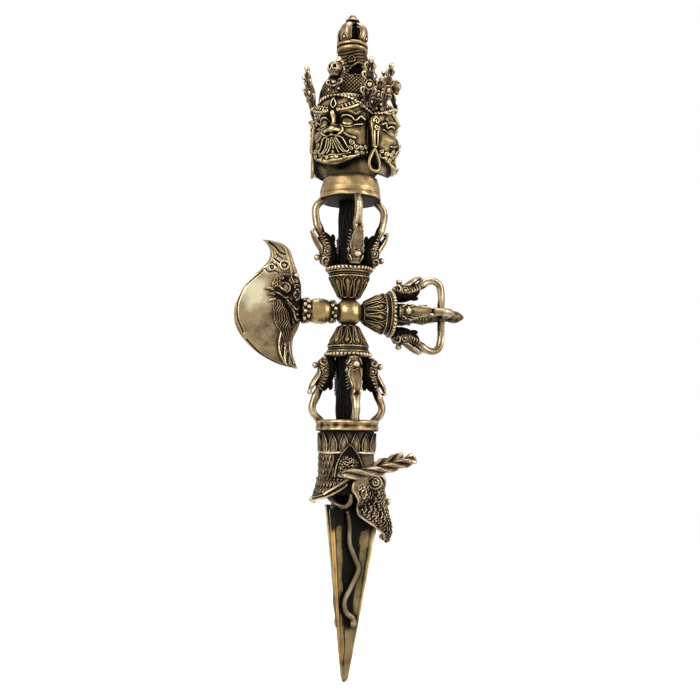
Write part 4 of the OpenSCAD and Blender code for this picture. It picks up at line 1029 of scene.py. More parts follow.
LEAVES = [(0, 22, 8.8, -7.6, 0.3), (45, 25, 8.6, 5.6, 0.42), (-45, 25, 8.6, 5.6, 0.42),
          (60, 16.5, 7, 8, 0.46)]
leaves = []
for face in FACES:
    for k, (angle, height, width, lean, ring_at) in enumerate(LEAVES):
        b = np.radians(abs(angle))
        leaf = crown_leaf(height, width, lean, ring_at, face + k)
        leaves.append(on_head(leaf, face + angle, lobe(b) + 1.3, CHIN_Z + band_height(b) + 0.9))
cast("jewelled_crown_leaves", together(leaves), crown_brass, "crown_brass", "crown_leaves")


# %% Skulls
def skull_relief(a, z, r):
    """Sockets, a nose hole, cheekbones and a row of teeth on a ball that faces along x."""
    t = (a + np.pi) % (2 * np.pi) - np.pi
    y = t * 3.2
    rise = 0.35 * np.abs(np.sin(3.2 * y)) * hump(z + 2.9, 0.8) * (np.abs(y) < 2.2)
    for side in (-1, 1):
        from_eye = np.hypot(y - 1.35 * side, z - 0.35)
        rise += 0.35 * ridge(from_eye - 1.15, 0.35) - 1.5 * hump(from_eye, 0.85)
        rise += 0.3 * hump(np.hypot(y - 2.4 * side, z + 1.2), 0.7)
    return rise - 0.7 * hump(np.hypot(y * 1.4, z + 1), 0.5)


skull = turned(fine([(0.5, 3.3), (1.8, 2.95), (2.8, 2), (3.3, 0.6), (3.2, -0.8), (2.5, -1.9), (2.1, -2.6),
                     (1.9, -3.5), (0.5, -3.9)], 0.2), 72, skull_relief)
SKULL_OUT = 23.0
SKULL_GROW = 1.12
skull_z = span("crown_skulls")[1][2] - 3.3
cast("crown_skull_trio", together([on_head(skull, face, SKULL_OUT, skull_z, SKULL_GROW) for face in FACES]),
     crown_brass, "crown_brass", "crown_skulls")

# %% [markdown]
# Behind the leaves the hair is drawn up in a dome of criss-crossed locks and
# tied in a topknot, with scrolls that hold it. It is dark, as no cloth gets in.

# %% Topknot
HAIR_Z = CHIN_Z + HEAD_H
HAIR_H = 29.4


def knot_relief(a, z, r):
    """Locks on the dome, a tie at the waist, and on every third of the knot a scroll over a
    deep arch with a raised rim."""
    third = (a - np.radians(233 + 24) + np.pi / 3) % (2 * np.pi / 3) - np.pi / 3
    y = third * np.maximum(r, 9)
    dome = cut((15.2 - z) / 1.5) * (z > 0.5)
    locks = dome * 1.3 * hair_lines(a * 16, z)
    upper = cut((z - 14) / 1.5)
    wraps = 0.7 * upper * (np.abs(np.sin(1.5 * z + 2 * np.sin(a * 2))) - 0.6)
    eye = 1.5 * drawn(y, z, curl(-0.6, 23.2, 2.4, 1.5, 240, 1, 30), 0.5)
    eye -= 1.2 * hump(np.hypot(y + 0.6, z - 23.2), 3.2)
    around = [(-4.4, 13.4), (-0.4, 18), (3.6, 21.2), (5.9, 18), (5.4, 13.4), (1.2, 12.6), (-4.4, 13.4)]
    arch = curve(around, 30)
    hole = -2.8 * cut(1.5 - near(y, z, [(-0.6, 14.6), (3.2, 18), (3, 15)]) / 1.9)
    return (locks + wraps * 0.8 + eye + drawn(y, z, arch, 0.55) + hole * (z > 11)) * (r > 6)


knot = turned(fine([(12.2, -5.9), (12.2, -0.1), (16.4, 0.1), (17.3, 2.9), (16.9, 7), (15, 12), (11.9, 15.2),
                    (10.4, 16.5), (10.5, 18.8), (9.9, 21.7), (8.6, 25.8), (7.5, 29.3), (2.2, 29.35)], 0.28),
                    300, knot_relief)
cast("hair_and_topknot", moved(knot, offset=(0, 0, HAIR_Z)), knot_brass, "dark_brass", "topknot")

# %% [markdown]
# The finial is a closed half vajra: two rings, four broad ribs that meet under
# a mushroom cap, and a dark core behind them. Each rib carries a small pointed
# ornament at its foot.

# %% Finial
BASE_Z = HAIR_Z + HAIR_H
RIB_Z = BASE_Z + 5
FINIAL_H = 11.2
FINIAL_R = 8.7


def ring_relief(a, z, r):
    """Small knobs round the finial's two rings."""
    knobs = 0.35 * hump(np.sin(2 * (a - 0.3)), 0.2) * (z > 2.4)
    return (r > 5) * (0.18 * np.sin(4 * a + 0.4) * hump(z - 1.2, 1) + knobs)


base = turned(fine([(2.2, 0), (7.8, 0), (8.4, 0.8), (8.5, 1.6), (8.1, 2.2), (7.2, 2.5), (7.6, 2.9),
                    (8.4, 3.2), (8.5, 4.1), (8, 4.8), (7.4, 5), (2.2, 5)], 0.3), 112, ring_relief)
cast("finial_rings", moved(base, offset=(0, 0, BASE_Z)), rubbed_brass, "bright_brass", "finial_base")

rib_path = curve([(6.7, 0, 0.1), (FINIAL_R - 1.1, 0, 2.2), (FINIAL_R - 0.8, 0, 5.2),
                  (FINIAL_R - 1.6, 0, 8.2), (4.9, 0, 10.2), (2.6, 0, 10.9)], 60)
s = np.linspace(0, 1, 60)
rib_half = np.interp(s, [0, 0.15, 0.5, 0.8, 1], [3.0, 3.8, 4.2, 3.2, 1.6])
points, quads, tris = swept(rib_path, 0.8, rib_half, (0, 1, 0), 36, relief=lambda t, u: (
    0.25 * np.cos(2 * u) - 0.3 * hump(np.sin(u), 0.25)) * np.sin(np.pi * t))
bend = points[:, 1] / np.maximum(points[:, 0], 4)
rib = [(round_axis(points[:, 0], bend, points[:, 2]), quads, tris)]
for side in (-1, 1):
    rib.append(wire([(8.0, 1.9 * side, 0.7), (8.6, 1.2 * side, 2.8), (8.75, 0.0, 4.6)], 0.38, 16, 8, 0.7))
rib.append(ball((8.3, 0, 1.7), 0.85, 12, 6))
ribs = together([moved(together(rib), about_z(90 * i + 45), (0, 0, RIB_Z)) for i in range(4)])
cast("finial_melon_ribs", ribs, relief_brass, "bright_brass", "finial_ribs")

cap = turned(fine([(2.1, 0), (2.3, 0.05), (2.4, 1.2), (3.6, 1.5), (3.75, 2.1), (3.3, 2.7), (2.4, 3.3),
                   (1.9, 4.3), (1.2, 5.2), (0.15, 5.6)], 0.16), 90,
                   lambda a, z, r: 0.1 * np.cos(4 * a + 0.5) * (r > 1))
cast("finial_mushroom_cap", moved(cap, offset=(0, 0, RIB_Z + FINIAL_H)), relief_brass, "bright_brass",
     "finial_cap")

# %% [markdown]
# The blade is three vanes round an axis, with a hollow ground between each two
# of them, tapering to a blunt tip. Its section is drawn once, as a loop of
# points, and scaled down with the height. The front edge has lost its zinc and
# shows copper, so it gets a finish of its own.

# %% Blade
BLADE_LEN = 88.0
EDGE_R = 18.0
EDGE_W = 2.4
CORE_R = 5.4
TIP_SHARE = 0.14
TIP_H = 2.5
THIRD_STEPS = 60
TANG = ((0.7, 0.2), (0.6, 7), (0.25, 12))    # share of the section, height over the blade


def blade_share(z):
    """Size of the blade's section at a height, in shares of the section at its shoulders."""
    over_tip = TIP_SHARE + (1 - TIP_SHARE) * (z - TIP_H) / (BLADE_LEN - TIP_H)
    return np.where(z < TIP_H, TIP_SHARE * np.sqrt(np.clip(z / TIP_H, 0.004, 1)), over_tip)


def hollow(f):
    """Distance from the axis and sideways place on a hollow face; f runs from -1 to 1 across it."""
    return CORE_R + (EDGE_R / 2 - CORE_R) * f * f, f * EDGE_R * np.sin(np.radians(60))


def blade_loop():
    """Points of the section: for each vane its flat edge with worn corners, then the next hollow."""
    edge = np.array([(EDGE_R - 0.4, -EDGE_W / 2), (EDGE_R - 0.06, -EDGE_W / 2 + 0.3), (EDGE_R, -0.5),
                     (EDGE_R + 0.03, 0), (EDGE_R, 0.5), (EDGE_R - 0.06, EDGE_W / 2 - 0.3),
                     (EDGE_R - 0.4, EDGE_W / 2)])
    x, y = hollow(np.linspace(-0.8, 0.8, 31))
    face = (np.c_[x, y, 0 * x] @ about_z(60).T)[:, :2]
    coarse = np.vstack([edge, face])
    steps = np.linspace(0, len(coarse) - 1, THIRD_STEPS)
    third = np.stack([np.interp(steps, np.arange(len(coarse)), side) for side in coarse.T], 1)
    return np.vstack([(np.c_[third, 0 * third[:, 0]] @ about_z(f).T)[:, :2] for f in FACES])


section = blade_loop()
z = np.r_[np.geomspace(0.02, TIP_H, 8)[:-1], np.linspace(TIP_H, BLADE_LEN - 0.3, 150)][:, None]
x, y = section.T
rings = np.stack([x * blade_share(z), y * blade_share(z), z + 0 * x], -1)
dent = 1 + 0.006 * uneven(rings.reshape(-1, 3), 9, 4).reshape(rings.shape[:2])
rings[..., :2] *= dent[..., None]
shoulder = rings[-1:] * (0.985, 0.985, 1) + (0, 0, 0.3)
tang = [rings[-1:] * (share, share, 0) + (0, 0, BLADE_LEN + h) for share, h in TANG]
blade = closed(np.concatenate([rings, shoulder] + tang))


def blade_shade_and_wear(points):
    """Painted shade deep in the hollows, over their soot: it fills them under the mouth as a painted
    shadow of the jaw, thins out towards the tip, and also darkens the top inside the mouth. A dark
    scratch winds down near the tip, and the edges and the tip are rubbed."""
    a = bearing(points) - BLADE_TURN
    from_middle = np.abs((a % 120) - 60) / 60
    far = from_axis(points) / (EDGE_R * blade_share(np.minimum(points[:, 2], BLADE_LEN)))
    deep = cut((0.54 - far + 0.03 * uneven(points, 14, 9)) / 0.16)
    up = cut((points[:, 2] - 24) / 22)
    snout_side = cut((123 - np.abs((a + 180) % 360 - 180)) / 0.6)
    mouth = cut((points[:, 2] - 79.5 + 2 * from_middle + 1.2 * uneven(points, 9, 8)) / 3) * snout_side
    inside = (points[:, 2] > BLADE_LEN - 0.1) * 0.9
    scratch = 0.6 * ridge(a % 120 - 31 - 7 * np.sin(points[:, 2] / 2.3), 8) * hump(points[:, 2] - 15, 14)
    rubbed = 0.14 * cut((far - 0.7) / 0.2) + 0.6 * cut(1 - points[:, 2] / 10)
    return np.maximum.reduce([0.85 * deep * up, 0.9 * mouth, inside, scratch]) - rubbed


blade_piece = cast("three_edged_blade", moved(blade, about_z(BLADE_TURN)), blade_brass, "blade_brass",
                   "blade", shade_and_soot=blade_shade_and_wear)
blade_piece.data.materials.append(copper_brass)
flat_edge = 2 * THIRD_STEPS + np.arange(1, 12)
copper_rows = np.arange(20, len(rings) - 7)[:, None]
index = np.zeros(len(blade_piece.data.polygons), np.int32)
index[copper_rows * len(section) + flat_edge] = 1
blade_piece.data.polygons.foreach_set("material_index", index)

# %% [markdown]
# A serpent winds down each hollow: a thin body punched with dots, thickest in
# its middle, with its head at the lower end.

# %% Serpents
def dragon(name, shape, node, shade_and_soot=None):
    """Casts a serpent or a piece of the sea-dragon, which are turned with the blade."""
    cast(name, moved(shape, about_z(BLADE_TURN)), dragon_brass, "dragon_brass", node, shade_and_soot=shade_and_soot)


NAGA_D = 2.4
BENDS = [(-4.2, 0.985), (-2.4, 0.9), (-1.8, 0.8), (2, 0.71), (4.2, 0.64), (0, 0.54), (-3.6, 0.47),
         (-2.4, 0.41), (2.2, 0.365), (2.6, 0.32)]


def serpent():
    """A dotted tube along the bends, which lie on the hollow face, with a wedge of a head."""
    flat = curve(BENDS, 300)
    share = blade_share(flat[:, 1] * BLADE_LEN)
    out = hollow(flat[:, 0] / (share * EDGE_R * np.sin(np.radians(60))))[0] * share
    path = np.c_[out + NAGA_D / 2 + 0.3, flat[:, 0], flat[:, 1] * BLADE_LEN]
    t = np.linspace(0, 1, 300)
    head_girth = 0.5 * hump(t - 0.95, 0.05) - 0.35 * hump(t - 1.03, 0.03)
    girth = NAGA_D / 2 * (0.62 + 0.38 * np.sin(np.pi * np.minimum(t * 1.5, 0.5)) + head_girth)
    body = swept(path, girth, girth * 0.85, (1, 0, 0), 20,
                 relief=lambda s, u: 0.3 * np.sin(2 * np.pi * 52 * s) * np.cos(5 * u) * (s < 0.93))
    head = path[-14]
    eyes = [ball(head + (0.75, 0.75 * side, 0.2), 0.42, 10, 5) for side in (-1, 1)]
    return together([body] + eyes)


naga = serpent()
for place, angle in (("right", 300), ("left", 180), ("back", 60)):
    dragon(f"serpent_{place}", moved(naga, about_z(angle)), f"naga_{place}")

# %% [markdown]
# The sleeve is the neck of a sea-dragon, a beast of Indian myth with an
# elephant's trunk and a crocodile's mouth, that spits out the blade. Scales
# cover its back, strands of mane sweep from the ears to the jaw, and the mouth
# is a hollow round the tang, darkened with painted shade.

# %% Sleeve
LIP_Z = BLADE_LEN + 7
SLEEVE_TOP = LIP_Z + 32
SLEEVE_R = 14.6


def scales(u, v):
    """Long pointed scales over a sheet, in rows that are shifted by half a scale. u and v count them
    sideways and upwards; each scale stands out most at its lower point."""
    row = np.floor(v)
    across = np.abs((u + 0.5 * (row % 2)) % 1 - 0.5)
    down = 1 - (v - row)
    inside = 0.5 * cut(1.15 - down) ** 0.6 - across
    return cut(inside / 0.12) * (0.35 + 0.65 * down) - 0.3 * ridge(across, 0.07)


def hide_relief(a, z, r):
    """On the sleeve's outside: scales at the back, and feathers of mane that sweep down and back."""
    t = (a + np.pi) % (2 * np.pi) - np.pi
    y = np.abs(t) * 15
    back = cut((np.abs(t) - 2.1) / 0.2)
    rise = 0.85 * back * scales(t * 15 / 2.3, z / 3.4)
    mane = 0
    for k in range(7):
        strand = curve([(22 + 0.6 * k, 24 - 1.5 * k), (26 + 1.2 * k, 17 - 1.4 * k), (30 + 1.6 * k, 8 - k),
                        (40 + 0.8 * k, 1.5)], 16)
        mane = np.maximum(mane, 0.9 * drawn(y, z - LIP_Z, strand, 0.65))
    front = 0.45 * (1 - back) * np.abs(np.sin(1.9 * (y + 0.25 * z))) * (z < SLEEVE_TOP - 10) * (y > 32)
    outside = r > SLEEVE_R - 0.6
    return outside * (np.maximum(rise * (z < SLEEVE_TOP - 9.5), mane) + front * (mane == 0) - 0.35)


wall = fine([(4.4, LIP_Z + 8.2), (12.2, LIP_Z + 8), (12.4, LIP_Z + 0.1), (14.2, LIP_Z),
             (SLEEVE_R, LIP_Z + 0.5), (SLEEVE_R, SLEEVE_TOP - 0.1), (2.6, SLEEVE_TOP)], 0.32)


def in_mouth(points):
    """Painted shade in the mouth and in the gap between the jaws on each side."""
    a = (bearing(points) - BLADE_TURN + 180) % 360 - 180
    gap = cut((LIP_Z + 9.5 - points[:, 2]) / 2) * cut((132 - np.abs(a)) / 8)
    return 0.9 * gap + 0.6 * (from_axis(points) < 13)


dragon("sea_dragon_sleeve", turned(wall, 264, hide_relief), "sleeve", in_mouth)

# %% [markdown]
# Leaves stand round the top of the sleeve, and two big pointed ears lie on its
# sides. They are flat plates when they are carved, and are then bent round.


# %% Leaves and ears on the sleeve
def bent_round(shape, radius):
    """A plate in the plane x = 0 laid round the axis: y becomes the way round at that radius."""
    (x, y, z), quads, tris = shape[0].T, shape[1], shape[2]
    return round_axis(radius + x, y / radius, z), quads, tris


def pointed(width, height, rows, waist=1.0):
    """Heights and half widths of a leaf between two arcs that meet in a point; waist is the share
    of its width that is left at its foot."""
    r = (height**2 + width**2 / 4) / width
    z = height * np.sin(np.linspace(0, np.pi / 2, rows))[:-1]
    half = np.sqrt(r * r - z * z) - (r - width / 2)
    return z, half * (waist + (1 - waist) * cut(z / (0.35 * height)) ** 0.7)


def leaf(width, height, rise, rim, vein):
    """A pointed leaf with a raised rim, a middle rib and upright veins."""
    z, half = pointed(width, height, 38, 0.7)

    def front(y, zz):
        edge = np.interp(zz, z, half) - np.abs(y)
        veins = vein * np.abs(np.sin(y * 5.4 + 0.1 * zz)) * (edge > 0.55)
        middle = 0.35 * hump(np.hypot(y, (zz - 0.35 * height) / 2), 1.2)
        return rise + rim * ridge(edge - 0.26, 0.34) + veins + middle

    return plate(z, half, front, 0.0, 28)


LEAVES_ROUND = 16
leaf_low = SLEEVE_TOP - 10
one = moved(leaf(5.5, 9.2, 0.25, 0.5, 0.22), offset=(0, 0, leaf_low))
wreath = [moved(bent_round(one, SLEEVE_R), about_z((i + 0.5) * 360 / LEAVES_ROUND))
          for i in range(LEAVES_ROUND)]
hoop_low = turned(fine([(SLEEVE_R - 1, leaf_low - 1.4), (SLEEVE_R + 0.3, leaf_low - 1.3),
                        (SLEEVE_R + 0.5, leaf_low - 0.7), (SLEEVE_R + 0.3, leaf_low - 0.1),
                        (SLEEVE_R - 1, leaf_low)], 0.3), 120)
dragon("leaf_wreath", together([hoop_low] + wreath), "leaf_ring")

EAR_W = 15.0
EAR_LOW_Z = LIP_Z + 9
EAR_TALL = 17.0


def ear_hollow(y, zz):
    """A pointed ear: a strong rim, fur lines and a rough lump at its root."""
    z, half = pointed(EAR_W, EAR_TALL, 60)
    edge = np.interp(zz, z, half) - np.abs(y)
    rise = 0.75 + 1.35 * ridge(edge - 0.5, 0.62)
    fur = 0.3 * np.abs(np.sin(y * 3.6 + 0.25 * zz)) * (edge > 1.2) * (zz > 7)
    rough = np.sin(2.9 * y + 1.6 * np.sin(1.7 * zz)) * np.sin(3.3 * zz + 1.4 * np.sin(2.3 * y))
    lump = 1.5 * hump(np.hypot(y + 1.6, zz - 6.4), 3.2) * (1 + 0.7 * rough)
    return rise + fur + lump


z, half = pointed(EAR_W, EAR_TALL, 76)
big_ear = bent_round(moved(plate(z, half, ear_hollow, -0.1, 66), offset=(0, 0, EAR_LOW_Z)), SLEEVE_R)


def shade_in_ears(points):
    """Painted shade in the ears' hollows, which lie between the rim and the lump at the root."""
    return 0.5 * (from_axis(points) < SLEEVE_R + 1.3) * cut((points[:, 2] - EAR_LOW_Z - 7.5) / 2)


dragon("dragon_ears", together([moved(big_ear, about_z(90 * side)) for side in (-1, 1)]), "ear_leaves",
       shade_in_ears)

# %% [markdown]
# The horns are two rods of wax twisted like rope, blunt at the end. They lie
# against the ears and run forwards past the snout.

# %% Horns
HORN_R = 2.3
horns = []
for side in (-1, 1):
    y = side * (SLEEVE_R + 0.7 + 1.4 + HORN_R + 0.25)
    path = curve([(-4, y, LIP_Z + 10.4), (12.2, y, LIP_Z + 12.4), (23, y, LIP_Z + 15.4),
                  (33, y - side * 0.8, LIP_Z + 19)], 130)
    s = np.linspace(0, 1, 130)
    girth = HORN_R * np.interp(s, [0, 0.02, 0.06, 0.8, 0.93, 0.975, 1],
                               [0.5, 0.85, 1, 0.96, 1.12, 1.1, 0.6])
    rope = swept(path, girth, girth, (0, 0, 1), 48, side * 9.5, 3, 0.27,
                 relief=lambda t, u: 0.07 * np.sin(9 * u) * (t < 0.93))
    horns.append(rope)
dragon("twisted_horns", together(horns), "horns")

# %% [markdown]
# The upper jaw is a trough that bends down over the blade's edge, covered with
# pebbles that grow towards the tip. Its side walls reach back to the corners of
# the mouth. A smooth lip runs along both walls and curls round a small ball at
# the tip. The eyes are spirals with a double rim.

# %% Snout
DROP = 22.0
ROWS, COLUMNS = 140, 120
SNOUT = [(11.5, 0.59), (13.6, 0.3), (14.6, 0), (15.2, -0.2), (16.9, -0.4), (18.9, -0.62), (20.5, -0.8),
         (21.2, -0.93), (20.8, -1.04), (19.6, -1.07)]
SNOUT_GIRTH = [(8, 3.4), (10, 5.4), (9.6, 5.6), (9, 5.2), (7.8, 4.8), (6.2, 4.2), (4.9, 3.5), (3.9, 2.6),
               (3, 1.9), (1.8, 1.2)]
WALL_BACK = [11, 13.2, 12.4, 11.4, 9, 5.4, 3, 1.4, 0.5, 0.2]
WALL_T = 1.2
mid = curve([(x, 0, LIP_Z + s * DROP) for x, s in SNOUT], ROWS)
size = curve(SNOUT_GIRTH, ROWS)
back = curve(np.c_[WALL_BACK, WALL_BACK], ROWS)[:, :1]
outwards = np.cross(unit(np.gradient(mid, axis=0)), (0, 1.0, 0))
u = np.linspace(-1, 1, COLUMNS)[None, :]
front = cut(np.abs(u) / 0.55) * np.pi / 2
wall = cut((np.abs(u) - 0.55) / 0.45)


def trough(shrink, relief):
    """The jaw's skin: half an oval round its front, then a straight wall on each side, over every
    row of the path, pushed outwards by a relief."""
    half, deep = size[:, :1] - shrink, size[:, 1:] - shrink
    across = np.sign(u) * ((half + relief) * np.sin(front) - 0.12 * back * wall**2)
    along = (deep + relief) * np.cos(front) - back * wall
    p = mid[:, None] + across[..., None] * np.array([0, 1.0, 0]) + along[..., None] * outwards[:, None]
    round_sleeve = (SLEEVE_R + 1.7 - shrink + relief) * cut((p[..., 2] - LIP_Z + 10) / 9) ** 0.5
    p[..., :2] *= np.maximum(1, round_sleeve / np.maximum(from_axis(p), 1))[..., None]
    return p


s = np.linspace(0, 1, ROWS)[:, None]
way = np.where(wall > 0, size[:, :1] * 1.5 + back * wall, size[:, :1] * front)
row = s * DROP + 0.5 * np.sin(1.9 * way) + 0.3 * np.sin(3.7 * way + 20 * s)
shift = 0.5 * (np.floor(row) % 2) + 0.35 * np.sin(2.3 * row)
cell = np.hypot((way / 1.6 + shift) % 1 - 0.5, row % 1 - 0.5)
grain = uneven(trough(0, 0 * way).reshape(-1, 3), 1.7, 21).reshape(way.shape)
pebbles = 0.6 * ridge(cell, 0.55) + 0.4 * grain
grown = cut((s - 0.03) / 0.2) * cut((1 - wall * 1.05) / 0.12)
parts = [shell(trough(0, pebbles * grown - 0.35), trough(WALL_T, 0 * pebbles))]
for side, column in ((-1, 0), (1, -1)):
    edge = trough(WALL_T / 2, 0 * pebbles)[:, column]
    tip = edge[-1]
    lip = curve(np.vstack([edge[4:-12:8], edge[-1:], [tip + (-1.3, 0, 1.2), tip + (-0.4, 0, 2.4)]]), 190)
    parts.append(swept(lip, 0.7, 0.8, (0, 1, 0.1), 14))
    parts.append(ball(tip + (0.5, 0.4 * side, 1.6), 1.3, 16, 9))
    eye = np.array([13.4, 11.3 * side, LIP_Z + 6.4])
    parts.append(ball(eye - (0, 2.2 * side, 0), 3.1, 26, 14))
    t = np.linspace(0, 2 * np.pi, 54, endpoint=False)
    ring = np.c_[eye[0] + 3.3 * np.cos(t), np.full(54, eye[1] + 0.2 * side), eye[2] + 3 * np.sin(t)]
    parts.append(swept(np.vstack([ring, ring[:2]]), 0.48, 0.5, (0, side, 0.01), 10))
    parts.append(moved(scroll((0, 0), 2.1, 1.25, 110, -1, 0.42, 0), offset=eye + (0, side * 0.8, 0)))
    brow = [(10.6, 8.8 * side, LIP_Z + 9.6), (13.6, 9.4 * side, LIP_Z + 11), (17, 7.4 * side, LIP_Z + 10.2),
            (19.2, 4.2 * side, LIP_Z + 7.6), (19.4, 1.6 * side, LIP_Z + 3.8)]
    parts.append(swept(curve(brow, 60), 1.2, 1.1, (0, side, 0.2), 14))
parts.append(swept(curve([(18.6, 0, LIP_Z - 4.2), (21.1, 0, LIP_Z - 4.2)], 8), 1.0, 1.0, (0, 1, 0), 14))
parts.append(ball((21.7, 0, LIP_Z - 4.2), 1.8, 22, 12))
dragon("dragon_snout", together(parts), "snout")

# %% [markdown]
# The lower jaw is a flap that flares out at the back, with feathers of mane
# running down it and a double line along its lip. Loops of lip hang below the
# corners of the mouth.

# %% Lower jaw and mouth loops
a = np.radians(np.linspace(94, 266, 200))[:, None]
top = LIP_Z + 8.2
low = np.minimum(LIP_Z - 4.4 + (19.0 - 18.6 * np.abs(np.cos(a)) ** 0.8) * np.tan(np.radians(29)), top - 0.8)
h = top + (low - top) * np.linspace(0, 1, 52)[None, :]
flare = 15.0 + 3.1 * ((top - h) / (top - (LIP_Z - 3.2))) ** 1.6
over_lip = h - low
line = 0.5 * ridge(over_lip - 2.3, 0.45) + 0.9 * ridge(over_lip - 0.6, 0.75)
swept_back = 0.12 * (h - LIP_Z) * np.sign(np.pi - a)
feathers = 0.7 * scales(a * 7.5 + swept_back, h / 3.4) * cut((over_lip - 2.9) / 0.6)
inner = np.maximum(flare - 1.1, 14.5 * (h > LIP_Z))
jaw = shell(round_axis(flare + line + feathers, a, h), round_axis(inner, a, h))
point = ball((-17.2, 0, LIP_Z - 3.2), 2.0, 18, 10)
dragon("lower_jaw_flap", together([jaw, point]), "lower_jaw")

loops = []
for side in (-1, 1):
    line = np.array([(-44, 0.6), (-38, -2.4), (-26, -4.6), (-10, -5.6), (2, -3.6), (6, 0.6)])
    r = SLEEVE_R - 1.0
    path = curve(round_axis(r, np.radians(90 - line[:, 0]), LIP_Z + line[:, 1]) * (1, side, 1), 110)
    loops.append(swept(path, 1.1, 1.25, (0, side, 0), 18,
                       relief=lambda t, v: 0.22 * np.sin(70 * np.pi * t) * np.cos(4 * v)))
    upright = [(-12.6, side * (r - 0.6), LIP_Z + 0.4), (-6, side * (r + 1.3), LIP_Z + 4.6),
               (-0.4, side * (r + 1.5), LIP_Z + 8.4)]
    loops.append(swept(curve(upright, 110), 0.7, 0.75, (0, side, 0), 12))
dragon("mouth_lip_loops", together(loops), "mouth_loops")

# %% [markdown]
# Two collars close the cages. They were turned, then filed and hammered by
# hand, so their rims wave a little; their undersides are darkened with painted shade.


# %% Collars
def filed(size, seed, high):
    """Relief of flats and dents about size mm wide on a turned piece."""
    def relief(a, z, r):
        return high * uneven(round_axis(r, a, z).reshape(-1, 3), size, seed).reshape(r.shape) * (r > 4)
    return relief


def shade_below(height):
    """Painted shade under a rim: how much darker a point below that height is drawn."""
    return lambda points: 0.9 * cut((height - points[:, 2]) / 0.6)


# The height of the soot below is the height under which painted shade darkens each collar's underside.
COLLARS = {    # profile, then width, seed and height of the dents, then height of the soot
    "lower": ([(2.7, 0), (15.2, 0), (16.2, 0.4), (16.65, 1.2), (16.3, 2.2), (16.0, 3.1), (16.4, 4.3),
               (16.7, 5), (16.2, 5.8), (15, 6), (2.7, 6)], (6, 2, 0.2), 1.0),
    "upper": ([(2.7, 0), (14.8, 0), (15.9, 0.3), (16.45, 1.1), (16.3, 2.2), (15.9, 3.4), (15.9, 5.6),
               (15.3, 8.4), (14.9, 10.4), (14.4, 11.6), (13.4, 12.15), (2.7, 12.2)], (7, 5, 0.18), 0.9),
}
for name, (profile, dents, shade_height) in COLLARS.items():
    low = span(f"{name}_collar")[0][2]
    collar = turned(fine(profile, 0.4), 160, filed(*dents))
    cast(f"{name}_hammered_collar", moved(collar, offset=(0, 0, low)), hammered_brass, "bright_brass",
         f"{name}_collar", shade_and_soot=shade_below(low + shade_height))

# %% [markdown]
# Left of the ball come a ring of beads, a barrel and a larger ring, all
# threaded on one stud, and then the axe.

# %% Rings of the axe arm
def knuckled_ring(radius, width, seed):
    """A short drum with two crowded rows of uneven beads, each pushed in by a thumb."""
    rng = np.random.default_rng(seed)
    drum = turned(fine([(0.01, 0), (radius - 1.6, 0), (radius - 1.2, width * 0.5), (radius - 1.6, width),
                        (0.01, width)], 0.4), 72)
    beads = []
    for row, z in ((0, width * 0.28), (1, width * 0.72)):
        for i in range(9):
            a = 2 * np.pi * (i + 0.5 * row + rng.uniform(-0.14, 0.14)) / 9
            size = width * rng.uniform(0.27, 0.35)
            r = radius - 0.75 * size
            beads.append(ball((r * np.cos(a), r * np.sin(a), z), size, 14, 8))
    return together([drum] + beads)


RING_W, BARREL_LEN, OUTER_W = 3.5, 10.5, 4.2
AXE_RINGS = (("inner", 6.0, RING_W, 3, HUB_HALF),
             ("outer", 6.7, OUTER_W, 8, HUB_HALF + RING_W + BARREL_LEN))
for name, radius, width, seed, height in AXE_RINGS:
    cast(f"axe_{name}_bead_ring", on_arm(knuckled_ring(radius, width, seed), "axe", height), relief_brass,
         "relief_brass", f"axe_{name}_ring")

# %% [markdown]
# The axe is a thick leaf of brass, thinner towards its edge, with a horn above
# and a heel below. Its rows run level from the cutting edge to the spine. A
# groove is engraved inside the edge, and the horn is a beast's crest with bars
# and two eye hollows. u is the distance from the spine, v the height.

# %% Axe blade
AXE_W = 36.0
AXE_HALF_H = 33.0
AXE_T = 3.0
AXE_X = -span("axe_blade")[1][0]
LEVELS = [-0.925, -0.9, -0.83, -0.67, -0.46, -0.26, -0.06, 0.08, 0.32, 0.6, 0.7, 0.78, 0.86, 0.94, 1.02,
          1.06, 1.085]
CUTTING = [0.05, 0.16, 0.38, 0.64, 0.84, 0.944, 0.966, 0.95, 0.84, 0.62, 0.535, 0.485, 0.465, 0.475, 0.52,
           0.555, 0.58]
SPINE = [0.03, 0.045, 0.07, 0.115, 0.11, 0.03, 0.0, 0.0, 0.012, 0.065, 0.1, 0.125, 0.15, 0.18, 0.26, 0.36,
         0.53]
GROOVES = [
    ([(20.4, 19.7), (25.1, 15.4), (29.7, 10.5), (32.3, 4.6), (33.2, 0), (32.7, -6), (29.9, -12.5)], 0.4,
     0.8),
    ([(28, -16.2), (20.9, -23), (12.7, -27.5), (6.4, -29.6)], 0.45, 0.85),
    ([(22.9, 18.6), (19.9, 20.6), (17.5, 19.1), (14.6, 19.8), (12.3, 19)], 0.4, 0.5),
    ([(17.6, 34.6), (14.6, 32.7), (11.9, 29.9), (9.3, 28.8)], 0.55, 0.8),
    ([(13.8, 28.6), (10.4, 26.4)], 0.4, 0.7),
    ([(14.9, 26.4), (11.9, 24.3)], 0.4, 0.7),
    ([(15.9, 24.2), (13, 22.2)], 0.4, 0.7),
    ([(12.3, 29.6), (12.9, 27.6), (14, 25.4), (12.7, 20.6)], 0.25, 0.35),
]
